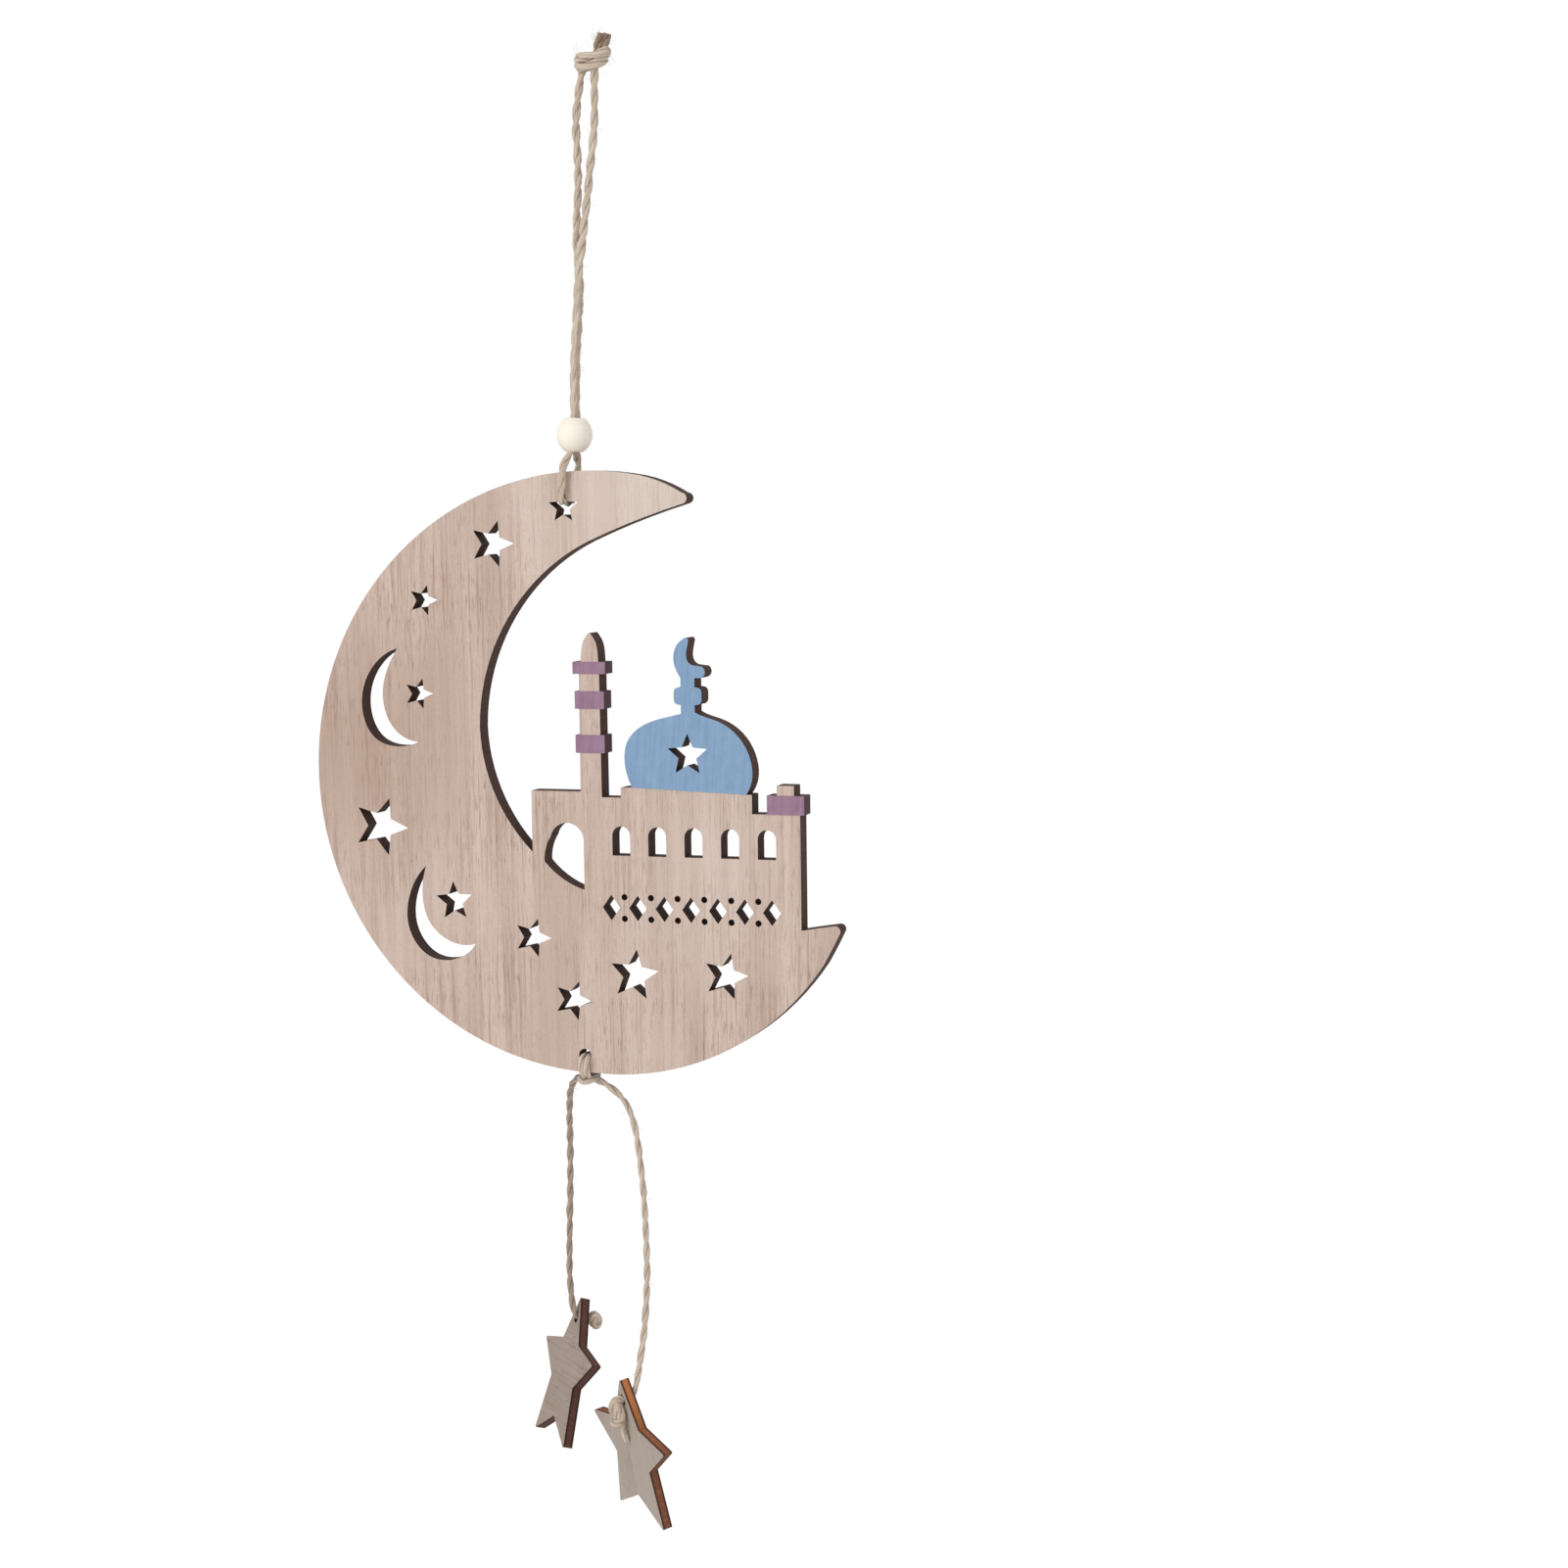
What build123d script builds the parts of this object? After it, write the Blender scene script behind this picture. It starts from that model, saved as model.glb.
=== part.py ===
# Hanging crescent ornament: a pierced plywood moon that holds a small mosque, on a
# twine loop with a wooden bead, and two plywood stars on twine tails below it.
#
# Frame: millimetres, +Z up, the plate's painted face looks along -Y.
# The origin is the point inside the hanging loop, right under its knot, where a hook sits.
# The plate hangs from the cord in its top star, so it turns by hang_tilt until its weight
# is under that cord. Plate places (u, v) are measured from the centre of its outer circle.

import math
import os

from build123d import *

os.makedirs("parts", exist_ok=True)

# Driving dimensions of the plate. Its layout is drawn for a radius of 75 and grows with the plate
plate_radius = 75.0
plate_thickness = 5.0
face_ply = 0.7
paint_coat = 0.12
hang_tilt = 4.4
wall_left = -16.3
wall_right = 54.1
window_width = 4.7
window_height = 7.3
window_pitch = 9.5
window_sill = -19.95
first_window = 7.5
window_count = 5
minaret_axis = -0.25
minaret_width = 5.7
minaret_taper = 0.15
cap_width = 4.8
minaret_top = 35.2
dome_axis = 25.45
dome_half_width = 16.5
turret_axis = 50.4
star_waist = 0.45
top_star_margin = 8.9
top_star_u = -6.2
top_star_radius = 4.0
hitch_hole_margin = 4.4
hitch_hole_u = -3.2
hitch_hole_diameter = 3.3
lozenge_width = 4.6
lozenge_height = 6.4
lozenge_pitch = 7.0
lozenge_count = 7
frieze_middle = (25.6, -33.0)
dot_diameter = 1.6
dot_spread = 5.4

# Driving dimensions of the twine and the bead
twine = 1.6
clearance = 0.3
strand_gap = 0.3
face_gap = 0.6
hook_to_seat = 102.0
seat_shift = -1.1
split_drop = 45.0
loop_half_width = 2.25
bead_diameter = 8.9
bead_height = 8.3
bead_drop = 85.3
bore_clearance = 0.25
swing_gap = 0.7

# Driving dimensions of the pendant stars
pendant_radius = 20.8
pendant_waist = 10.9
pendant_side_waist = 9.2
side_waist_lift = 7
pendant_tip_fillet = 0.35
pendant_thickness = 2.5
pendant_ply = 0.5
pendant_hole = 2.8
pendant_hole_margin = 5.6

# Where each pendant hangs: its hole, as a step from the plate's lowest rim under the hitch,
# then how far it is turned about Z, how far its face looks up, and how far it is rolled
left_hole_step = Vector(-7.35, 22.3, -71.85)
left_turn, left_nod, left_roll = -51.7, 12.7, 7.0
right_hole_step = Vector(15.55, -1.6, -82.5)
right_turn, right_nod, right_roll = -41.7, -12.4, 1.8

# Pierced stars of the plate: middle u, v, tip radius, and how far the top tip leans left
pierced_stars = [
    (-25.6, 57.2, 6.0, -17),
    (-44.6, 43.2, 4.0, -17),
    (-46.5, 19.7, 4.0, -17),
    (-58.0, -14.2, 7.7, -20),
    (-38.0, -32.8, 5.1, 3),
    (-16.8, -41.3, 5.1, -18),
    (-6.2, -56.8, 5.2, -20),
    (10.3, -49.8, 6.6, -7),
    (34.4, -49.2, 6.0, -14),
]
dome_star = (25.3, 5.3, 5.4, 0)

# Pierced crescents: points along the outer edge from tip to tip, then those of the inner edge back
pierced_moons = [
    (
        [(-52.1, 31.1), (-58.9, 26.6), (-62.3, 16.6), (-58.4, 8.0), (-53.2, 6.3), (-46.9, 7.5)],
        [(-46.9, 7.5), (-54.2, 11.7), (-56.4, 20.4), (-54.7, 26.6), (-52.1, 31.1)],
    ),
    (
        [(-45.6, -24.0), (-50.8, -33.2), (-50.5, -40.7), (-44.7, -47.3), (-38.6, -47.7), (-32.4, -43.5)],
        [(-32.4, -43.5), (-38.1, -43.5), (-44.8, -38.6), (-46.8, -31.0), (-45.6, -24.0)],
    ),
]

# Painted bands of the minaret: name, middle height, height, width
minaret_bands = [
    ("lower_band_paint", 7.7, 4.5, 7.7),
    ("middle_band_paint", 18.6, 4.4, 7.7),
    ("upper_band_paint", 26.55, 3.0, 8.6),
]

# Places that follow from the driving dimensions
layout_scale = plate_radius / 75.0
twine_radius = twine / 2
half_thickness = plate_thickness / 2
pair_half = (twine + strand_gap) / 2
bead_bore = 2 * (pair_half + twine_radius + bore_clearance)
top_star_v = plate_radius - top_star_margin
hitch_hole_v = hitch_hole_margin - plate_radius
strand_y = half_thickness + face_gap + twine_radius
tilt = math.radians(hang_tilt)
plate_right = Vector(math.cos(tilt), 0, math.sin(tilt))
plate_up = Vector(-math.sin(tilt), 0, math.cos(tilt))

# The cord seats under the top star's tip, where the arm is just wide enough for it
waist_side = star_waist * math.sin(math.pi / 5)
tip_half_angle = math.atan2(waist_side, 1 - star_waist * math.cos(math.pi / 5))
seat_below_tip = (twine_radius + clearance) / math.sin(tip_half_angle)
seat_v = top_star_v + top_star_radius - seat_below_tip
seat = Vector(seat_shift, 0, -hook_to_seat)
plate_middle = seat - plate_right * top_star_u - plate_up * seat_v
front_plane = Plane(
    origin=plate_middle + Vector(0, -half_thickness, 0), x_dir=plate_right, z_dir=(0, -1, 0)
)
rim_drop = math.sqrt(plate_radius**2 - hitch_hole_u**2)
hitch_rim = plate_middle + plate_right * hitch_hole_u - plate_up * rim_drop


def save(solid, name):
    """Label one piece, write it, and print its volume."""
    solid.label = name
    export_step(solid, f"parts/{name}.step")
    print(f"{name}: {solid.volume:.1f} mm3")


def star_points(tip_radius, waist_radius):
    """Ten corners of a five-pointed star with one tip straight up."""
    corners = []
    for corner in range(10):
        reach = tip_radius if corner % 2 == 0 else waist_radius
        angle = math.radians(90 + 36 * corner)
        corners.append((reach * math.cos(angle), reach * math.sin(angle)))
    return corners


def cut_star(u, v, tip_radius, lean):
    """Pierce one star in the sketch that is open."""
    with Locations(Location((u, v), lean)):
        corners = star_points(tip_radius, star_waist * tip_radius)
        Polygon(*corners, align=None, mode=Mode.SUBTRACT)


def moon_outline():
    """The crescent, with its rounded horns and an inner edge of three arcs."""
    upper_horn = (14.0, 73.7)
    lower_horn = (59.75, -45.2)
    with BuildSketch() as moon:
        with BuildLine():
            ThreePointArc(upper_horn, (-75.0, 0), (0, -75.0))
            ThreePointArc((0, -75.0), (42.8, -62.6), lower_horn)
            ThreePointArc(lower_horn, (62.5, -40.2), (63.9, -37.4))
            ThreePointArc((63.9, -37.4), (63.65, -36.1), (62.4, -35.7))
            ThreePointArc((62.4, -35.7), (58.6, -36.3), (53.0, -37.3))
            ThreePointArc((53.0, -37.3), (12.0, -36.0), (-16.3, -19.6))
            ThreePointArc((-16.3, -19.6), (-26.3, -5.0), (-29.9, 11.6))
            ThreePointArc((-29.9, 11.6), (-17.6, 44.2), (0.4, 57.8))
            ThreePointArc((0.4, 57.8), (13.0, 62.8), (25.1, 66.7))
            ThreePointArc((25.1, 66.7), (26.1, 67.85), (24.9, 69.35))
            ThreePointArc((24.9, 69.35), (20.0, 71.85), upper_horn)
        make_face()
    return moon.sketch


def mosque_walls():
    """The mosque's front wall with its stepped roof, down into the moon."""
    with BuildSketch() as walls:
        with BuildLine():
            Polyline(
                (wall_left, -25.0),
                (wall_left, -4.2),
                (minaret_axis, -4.2),
                (minaret_axis, -5.5),
                (7.6, -5.5),
                (7.6, -3.0),
                (dome_axis - 14.75, -2.9),
                (41.8, -4.1),
                (41.8, -8.8),
                (wall_right, -8.8),
                (wall_right, -40.0),
                (6.0, -40.0),
                close=True,
            )
        make_face()
    return walls.sketch


def minaret_outline():
    """The minaret's tapered shaft and its bullet-shaped cap, without the bands."""
    cap_foot = minaret_bands[-1][1]
    cap_height = minaret_top - cap_foot
    cap_axis = minaret_axis + 0.2
    foot_half = minaret_width / 2
    top_half = foot_half - minaret_taper
    left_side = []
    right_side = []
    for width_share, height_share in ((1.0, 0.0), (0.95, 0.31), (0.82, 0.62), (0.65, 0.77), (0.37, 0.9)):
        reach = width_share * cap_width / 2
        height = cap_foot + height_share * cap_height
        left_side.append((cap_axis - reach, height))
        right_side.insert(0, (cap_axis + reach, height))
    with BuildSketch() as minaret:
        Polygon(
            (minaret_axis - foot_half, -10.0),
            (minaret_axis + foot_half, -10.0),
            (minaret_axis + top_half, cap_foot),
            (minaret_axis - top_half, cap_foot),
            align=None,
        )
        with BuildLine():
            Spline(*left_side, (cap_axis, minaret_top), *right_side)
            Line(right_side[-1], left_side[0])
        make_face()
    return minaret.sketch


def band_outline(middle_v, height, width):
    """One band round the minaret."""
    with BuildSketch() as band:
        with Locations((minaret_axis, middle_v)):
            Rectangle(width, height)
    return band.sketch


def turret_band_outline():
    """The band of the corner turret."""
    with BuildSketch() as band:
        with Locations((turret_axis, -6.5)):
            Rectangle(9.5, 4.7)
    return band.sketch


def dome_outline():
    """The onion dome with its neck, knob and crescent finial."""
    foot_left = (dome_axis - 14.75, -2.9)
    foot_right = (dome_axis + 14.9, -4.05)
    neck_axis = dome_axis + 0.15
    with BuildSketch() as dome:
        with BuildLine():
            Spline(
                foot_left,
                (dome_axis - 15.9, -0.2),
                (dome_axis - dome_half_width - 0.15, 4.1),
                (dome_axis - 15.9, 8.3),
                (dome_axis - 13.1, 11.6),
                (dome_axis - 8.2, 13.9),
                (dome_axis - 1.7, 15.5),
            )
            Line((dome_axis - 1.7, 15.5), (dome_axis + 2.0, 15.9))
            Spline(
                (dome_axis + 2.0, 15.9),
                (dome_axis + 3.4, 15.2),
                (dome_axis + 7.3, 13.95),
                (dome_axis + 12.6, 10.6),
                (dome_axis + 15.8, 5.5),
                (dome_axis + dome_half_width, -0.3),
                foot_right,
            )
            Line(foot_right, foot_left)
        make_face()
        with Locations((neck_axis, 19.85)):
            Rectangle(3.6, 10.0)
            RectangleRounded(7.2, 4.3, 1.3)
        with BuildLine():
            Spline(
                (dome_axis - 1.6, 24.3),
                (dome_axis - 3.1, 27.2),
                (dome_axis - 3.4, 29.1),
                (dome_axis - 2.5, 32.3),
                (dome_axis - 0.8, 33.8),
            )
            ThreePointArc((dome_axis - 0.8, 33.8), (dome_axis + 0.2, 34.0), (dome_axis + 0.5, 33.4))
            Spline(
                (dome_axis + 0.5, 33.4),
                (dome_axis + 0.1, 31.5),
                (dome_axis + 0.1, 28.7),
                (dome_axis + 1.5, 27.4),
            )
            Line((dome_axis + 1.5, 27.4), (dome_axis + 3.9, 27.1))
            ThreePointArc((dome_axis + 3.9, 27.1), (dome_axis + 4.7, 25.9), (dome_axis + 3.6, 24.3))
            Line((dome_axis + 3.6, 24.3), (dome_axis - 1.6, 24.3))
        make_face()
    return dome.sketch


def door_outline():
    """The arched door, which ends at the moon's edge below it."""
    foot = (-2.5, -28.8)
    spring = (-2.5, -17.0)
    shoulder = (-11.3, -15.5)
    corner = (-13.1, -21.9)
    with BuildSketch() as door:
        with BuildLine():
            Line(foot, spring)
            ThreePointArc(spring, (-6.0, -12.2), shoulder)
            ThreePointArc(shoulder, (-12.7, -18.5), corner)
            ThreePointArc(corner, (-8.5, -26.0), foot)
        make_face()
    return door.sketch


def pierced_moon(outer_edge, inner_edge):
    """One small crescent between its two edges."""
    with BuildSketch() as moon:
        with BuildLine():
            Spline(*outer_edge)
            Spline(*inner_edge)
        make_face()
    return moon.sketch


# The plate's layout: the moon and the mosque, with what is pierced through them
with BuildSketch() as layout:
    add(moon_outline())
    add(mosque_walls())
    add(minaret_outline())
    for band_name, middle_v, height, width in minaret_bands:
        add(band_outline(middle_v, height, width))
    add(dome_outline())
    add(turret_band_outline())
    with Locations((turret_axis, -4.0)):
        Rectangle(4.4, 4.6)
    add(door_outline(), mode=Mode.SUBTRACT)
    row_middle = first_window + window_pitch * (window_count - 1) / 2
    jamb = window_height - window_width / 2
    with Locations((row_middle, window_sill + jamb / 2)):
        with GridLocations(window_pitch, 0, window_count, 1):
            Rectangle(window_width, jamb, mode=Mode.SUBTRACT)
    with Locations((row_middle, window_sill + jamb)):
        with GridLocations(window_pitch, 0, window_count, 1):
            Circle(window_width / 2, mode=Mode.SUBTRACT)
    cut_star(*dome_star)
    for star in pierced_stars:
        cut_star(*star)
    for moon in pierced_moons:
        add(pierced_moon(*moon), mode=Mode.SUBTRACT)
    with Locations(frieze_middle):
        with GridLocations(lozenge_pitch, 0, lozenge_count, 1):
            Polygon(
                (lozenge_width / 2, 0),
                (0, lozenge_height / 2),
                (-lozenge_width / 2, 0),
                (0, -lozenge_height / 2),
                align=None,
                mode=Mode.SUBTRACT,
            )
        with GridLocations(lozenge_pitch, dot_spread, lozenge_count - 1, 2):
            Circle(dot_diameter / 2, mode=Mode.SUBTRACT)

# The whole outline: the layout at the plate's size, and the two holes that carry twine
with BuildSketch() as plate_outline:
    add(layout.sketch)
    scale(by=layout_scale)
    cut_star(top_star_u, top_star_v, top_star_radius, 0)
    with Locations((hitch_hole_u, hitch_hole_v)):
        Circle(hitch_hole_diameter / 2, mode=Mode.SUBTRACT)

# The plate's three plies, glued face to face
plate_plies = [
    ("plate_front_ply", 0.0, face_ply),
    ("plate_core", face_ply, plate_thickness - 2 * face_ply),
    ("plate_back_ply", plate_thickness - face_ply, face_ply),
]
for ply_name, depth, thickness in plate_plies:
    with BuildPart() as plate_ply:
        with BuildSketch(front_plane.offset(-depth)):
            add(plate_outline.sketch)
        extrude(amount=-thickness)
    save(plate_ply.part, ply_name)

# The blue coat of the dome and its finial
with BuildPart() as dome_coat:
    with BuildSketch(front_plane):
        add(dome_outline())
        cut_star(*dome_star)
        scale(by=layout_scale)
    extrude(amount=paint_coat)
save(dome_coat.part, "dome_paint")

# The mauve coats of the minaret's three bands and of the turret's band
for band_name, middle_v, height, width in minaret_bands:
    with BuildPart() as band_coat:
        with BuildSketch(front_plane):
            add(band_outline(middle_v, height, width))
            scale(by=layout_scale)
        extrude(amount=paint_coat)
    save(band_coat.part, band_name)

with BuildPart() as turret_coat:
    with BuildSketch(front_plane):
        add(turret_band_outline())
        scale(by=layout_scale)
    extrude(amount=paint_coat)
save(turret_coat.part, "turret_band_paint")


def bend_radii(points):
    """As wide a bend at each corner of a route as its two runs allow."""
    radii = []
    for before, corner, after in zip(points, points[1:], points[2:]):
        run_in = corner - before
        run_out = after - corner
        half_turn = math.radians(run_in.get_angle(run_out)) / 2
        shorter = min(run_in.length, run_out.length)
        radii.append(0.45 * shorter / math.tan(half_turn))
    return radii


def twine_tube(name, points):
    """One stretch of twine along straight runs and tangent arcs."""
    radii = bend_radii(points)
    with BuildPart() as stretch:
        with BuildLine() as route:
            if radii:
                FilletPolyline(*points, radius=radii)
            else:
                Line(*points)
        with BuildSketch(Plane(origin=route.line @ 0, z_dir=route.line % 0)):
            Circle(twine_radius)
        sweep(path=route.line)
    save(stretch.part, name)
    length = route.wire().length
    section = math.pi * twine_radius**2
    bends = ", ".join(f"{radius:.1f}" for radius in radii)
    print(f"  {length:.1f} mm long, section times length {section * length:.1f} mm3, bends {bends}")


# The hanging loop above the split: two strands that part under the knot
knot_foot = 1.0
right_strand = [
    Vector(loop_half_width, -0.9, knot_foot),
    Vector(loop_half_width, -0.9, -8.0),
    Vector(1.2, -0.9, -24.0),
    Vector(0, -pair_half, -38.0),
    Vector(0, -pair_half, -split_drop),
]
left_strand = [
    Vector(-loop_half_width, 0.9, knot_foot),
    Vector(-loop_half_width, 0.9, -8.0),
    Vector(-1.5, 1.0, -24.0),
    Vector(0, pair_half, -38.0),
    Vector(0, pair_half, -split_drop),
]
twine_tube("loop_right_strand", right_strand)
twine_tube("loop_left_strand", left_strand)

# The sling: down through the bead, over the plate's face, through the top star and back up
bead_foot = bead_drop + bead_height / 2
sling_front = [
    Vector(0, -pair_half, -split_drop),
    Vector(0, -pair_half, -bead_foot - 1.05),
    Vector(-0.5, -strand_y, -bead_foot - 3.05),
    Vector(seat.X, -strand_y, seat.Z + 1.25),
    Vector(seat.X, 1.05 - strand_y, seat.Z),
]
sling_back = [
    Vector(seat.X, strand_y - 1.05, seat.Z),
    Vector(seat.X, strand_y, seat.Z + 1.25),
    Vector(0.2, strand_y, -bead_foot - 3.05),
    Vector(0, pair_half, -bead_foot - 1.05),
    Vector(0, pair_half, -split_drop),
]
twine_tube("sling_cord", sling_front + sling_back)

# The knot that closes the loop, with the two cut ends of the twine
with BuildPart() as knot:
    with BuildSketch(Plane.XZ):
        with BuildLine():
            Line((0, knot_foot), (3.3, knot_foot))
            ThreePointArc((3.3, knot_foot), (4.6, 4.0), (2.6, 6.9))
            Line((2.6, 6.9), (0, 6.9))
            Line((0, 6.9), (0, knot_foot))
        make_face()
    revolve(axis=Axis.Z)
    for side, lean in ((0.6, 8), (2.2, 22)):
        with BuildSketch(Plane(origin=(side, 0, 5.5), z_dir=(math.sin(math.radians(lean)), 0, 1))):
            Circle(twine_radius)
        extrude(amount=5.6)
save(knot.part, "top_knot")

# The bead: a ball a little drawn out along its bore, cut flat at both ends, bored for two strands
bead_top = -bead_drop + bead_height / 2
bead_bottom = -bead_drop - bead_height / 2
bead_end = bead_bore / 2 + 0.2
with BuildPart() as bead:
    with BuildSketch(Plane.XZ) as bead_half:
        with BuildLine():
            Spline(
                (bead_end, bead_bottom),
                (0.386 * bead_diameter, -bead_drop - 0.361 * bead_height),
                (bead_diameter / 2, -bead_drop),
                (0.386 * bead_diameter, -bead_drop + 0.361 * bead_height),
                (bead_end, bead_top),
            )
            Line((bead_end, bead_top), (bead_bore / 2, bead_top))
            Line((bead_bore / 2, bead_top), (bead_bore / 2, bead_bottom))
            Line((bead_bore / 2, bead_bottom), (bead_end, bead_bottom))
        make_face()
        fillet(bead_half.vertices(), 0.08)
    revolve(axis=Axis.Z)
save(bead.part, "bead")

# The hitch: the doubled twine through the lower hole and round the plate's rim
hitch_clear = 0.1
hitch_width = 1.8 * twine
hitch_top = hitch_hole_v - 0.3
hitch_foot = -rim_drop - hitch_clear - twine_radius
hitch_reach = half_thickness + hitch_clear + twine_radius
hitch_plane = Plane(
    origin=plate_middle + plate_right * hitch_hole_u, x_dir=(0, 1, 0), z_dir=plate_right
)
with BuildPart() as hitch:
    with BuildSketch(hitch_plane.offset(-hitch_width / 2)):
        with Locations((0, (hitch_top + hitch_foot) / 2)):
            ring_height = hitch_top - hitch_foot
            RectangleRounded(2 * hitch_reach + twine, ring_height + twine, 2.2)
            RectangleRounded(2 * hitch_reach - twine, ring_height - twine, 0.5, mode=Mode.SUBTRACT)
    extrude(amount=hitch_width)
    fillet(hitch.faces().sort_by(Axis(origin=(0, 0, 0), direction=plate_right))[0].edges(), 0.7)
    fillet(hitch.faces().sort_by(Axis(origin=(0, 0, 0), direction=plate_right))[-1].edges(), 0.7)
save(hitch.part, "lower_hitch")


def pendant_plane(hole_step, turn, nod, roll):
    """The plane of one pendant, through the middle of its hole and looking out of its face."""
    heading = math.radians(turn)
    level = math.cos(math.radians(nod))
    face = Vector(level * math.sin(heading), -level * math.cos(heading), math.sin(math.radians(nod)))
    across = Vector(math.cos(heading), math.sin(heading), 0)
    rolled = across.rotate(Axis((0, 0, 0), face), roll)
    return Plane(origin=hitch_rim + hole_step, x_dir=rolled, z_dir=face)


def pendant_corners():
    """Ten corners of a pendant: a star whose waists beside the legs sit higher and deeper."""
    corners = star_points(pendant_radius, pendant_waist)
    angle = math.radians(side_waist_lift - 18)
    across = pendant_side_waist * math.cos(angle)
    height = pendant_side_waist * math.sin(angle)
    corners[3] = (-across, height)
    corners[7] = (across, height)
    return corners


def pendant(side, plane):
    """The three plies of one star, with the hole for its twine."""
    plies = [
        ("front_ply", pendant_thickness / 2, pendant_ply),
        ("core", pendant_thickness / 2 - pendant_ply, pendant_thickness - 2 * pendant_ply),
        ("back_ply", pendant_ply - pendant_thickness / 2, pendant_ply),
    ]
    middle = pendant_hole_margin - pendant_radius
    for ply_name, top, thickness in plies:
        with BuildPart() as ply:
            with BuildSketch(plane.offset(top)) as star:
                with Locations((0, middle)):
                    Polygon(*pendant_corners(), align=None)
                tips = star.vertices().sort_by_distance((0, middle, 0))[-5:]
                fillet(tips, pendant_tip_fillet)
                Circle(pendant_hole / 2, mode=Mode.SUBTRACT)
            extrude(amount=-thickness)
        save(ply.part, f"{side}_star_{ply_name}")


def stopper_knot(side, plane, facing, tail_length):
    """A small knot on the twine's end, on one face of a star, with its cut end below it."""
    seat_height = pendant_thickness / 2 + clearance
    outward = plane.z_dir * facing
    knot_seat = plane.origin + outward * seat_height
    with BuildPart() as stopper:
        with BuildSketch(Plane(origin=knot_seat, x_dir=outward, z_dir=plane.y_dir)):
            with BuildLine():
                Line((0, 0), (0, 1.5))
                ThreePointArc((0, 1.5), (2.1, 2.3), (4.2, 1.3))
                Line((4.2, 1.3), (4.2, 0))
                Line((4.2, 0), (0, 0))
            make_face()
        revolve(axis=Axis(origin=knot_seat, direction=outward))
        down = Vector(0, 0, -1) + outward * 0.25
        with BuildSketch(Plane(origin=knot_seat + outward * 2.3, z_dir=down)):
            Circle(twine_radius)
        extrude(amount=tail_length)
    save(stopper.part, f"{side}_star_knot")


def hanging_star(side, hole_step, turn, nod, roll, facing, tail_length, arch_steps, tail_steps, lead):
    """One tail from the hitch, in three stretches, with the star on its end."""
    plane = pendant_plane(hole_step, turn, nod, roll)
    arch = [hitch_rim + step for step in arch_steps]
    swing_point = arch[-1]
    drop = (arch[-1] - arch[-2]).normalized()
    lead_points = [plane.from_local_coords(Vector(*point)) for point in lead]
    rise = (lead_points[0] - lead_points[1]).normalized()
    tail = [swing_point + drop * swing_gap]
    tail += [hitch_rim + step for step in tail_steps]
    tail += [lead_points[0] + rise * 6.0, lead_points[0]]
    twine_tube(f"{side}_arch", arch)
    twine_tube(f"{side}_tail", tail)
    twine_tube(f"{side}_lead", lead_points)
    pendant(side, plane)
    stopper_knot(side, plane, facing, tail_length)
    pivot = swing_point + drop * swing_gap / 2
    print(f"  {side} swing at {pivot}, star turns about {rise} at {lead_points[0]}")


# The left star: its twine leaves the hitch backwards, and its knot is behind it
hanging_star(
    "left",
    left_hole_step,
    left_turn,
    left_nod,
    left_roll,
    facing=-1,
    tail_length=3.6,
    arch_steps=[
        Vector(-1.75, 0.1, -1.5),
        Vector(-3.7, 0.9, -2.4),
        Vector(-6.0, 3.7, -4.6),
        Vector(-7.9, 7.2, -7.6),
        Vector(-9.3, 11.2, -13.2),
        Vector(-10.0, 14.6, -21.8),
    ],
    tail_steps=[
        Vector(-10.4, 16.7, -31.9),
        Vector(-10.2, 18.0, -45.0),
    ],
    lead=[(1.9, 8.3, 4.3), (0.4, 2.0, 2.7), (0.0, 0.0, 1.4), (0.0, 0.0, -1.55)],
)

# The right star: its twine arches sideways, and its knot is on its face
hanging_star(
    "right",
    right_hole_step,
    right_turn,
    right_nod,
    right_roll,
    facing=1,
    tail_length=8.0,
    arch_steps=[
        Vector(1.75, -0.1, -1.7),
        Vector(4.9, 1.6, -3.2),
        Vector(8.4, 3.4, -6.3),
        Vector(10.9, 4.5, -11.2),
        Vector(12.6, 4.7, -18.6),
    ],
    tail_steps=[
        Vector(15.4, 3.7, -33.5),
        Vector(17.5, 2.5, -51.0),
        Vector(18.1, 1.5, -61.0),
    ],
    lead=[(0.6, 8.0, -4.9), (0.7, 2.2, -2.8), (0.0, 0.0, -1.4), (0.0, 0.0, 1.55)],
)
print(f"hook to seat {seat}, plate middle {plate_middle}, hitch rim {hitch_rim}")
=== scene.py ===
import math

import bpy
import numpy as np
from mathutils import Matrix, Vector


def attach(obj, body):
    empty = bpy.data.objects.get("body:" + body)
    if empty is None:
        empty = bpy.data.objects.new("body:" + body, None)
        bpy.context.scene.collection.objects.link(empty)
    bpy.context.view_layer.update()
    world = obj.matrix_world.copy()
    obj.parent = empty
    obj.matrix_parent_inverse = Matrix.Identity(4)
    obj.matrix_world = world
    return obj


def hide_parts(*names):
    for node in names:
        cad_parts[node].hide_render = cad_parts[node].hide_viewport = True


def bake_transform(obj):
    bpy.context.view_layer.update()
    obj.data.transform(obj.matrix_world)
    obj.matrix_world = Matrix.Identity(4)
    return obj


# %% [markdown]
# # A hanging crescent ornament
# The ornament is a laser-cut plywood moon with a small mosque, on a twine loop with a
# wooden bead, and two plywood stars hang below it on twine tails. The solids of the plate,
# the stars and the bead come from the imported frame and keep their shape. Here they get
# their wood, char and paint, and the twine, which the frame holds as plain tubes, is
# made as two twisted plies with loose fibres.

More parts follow.
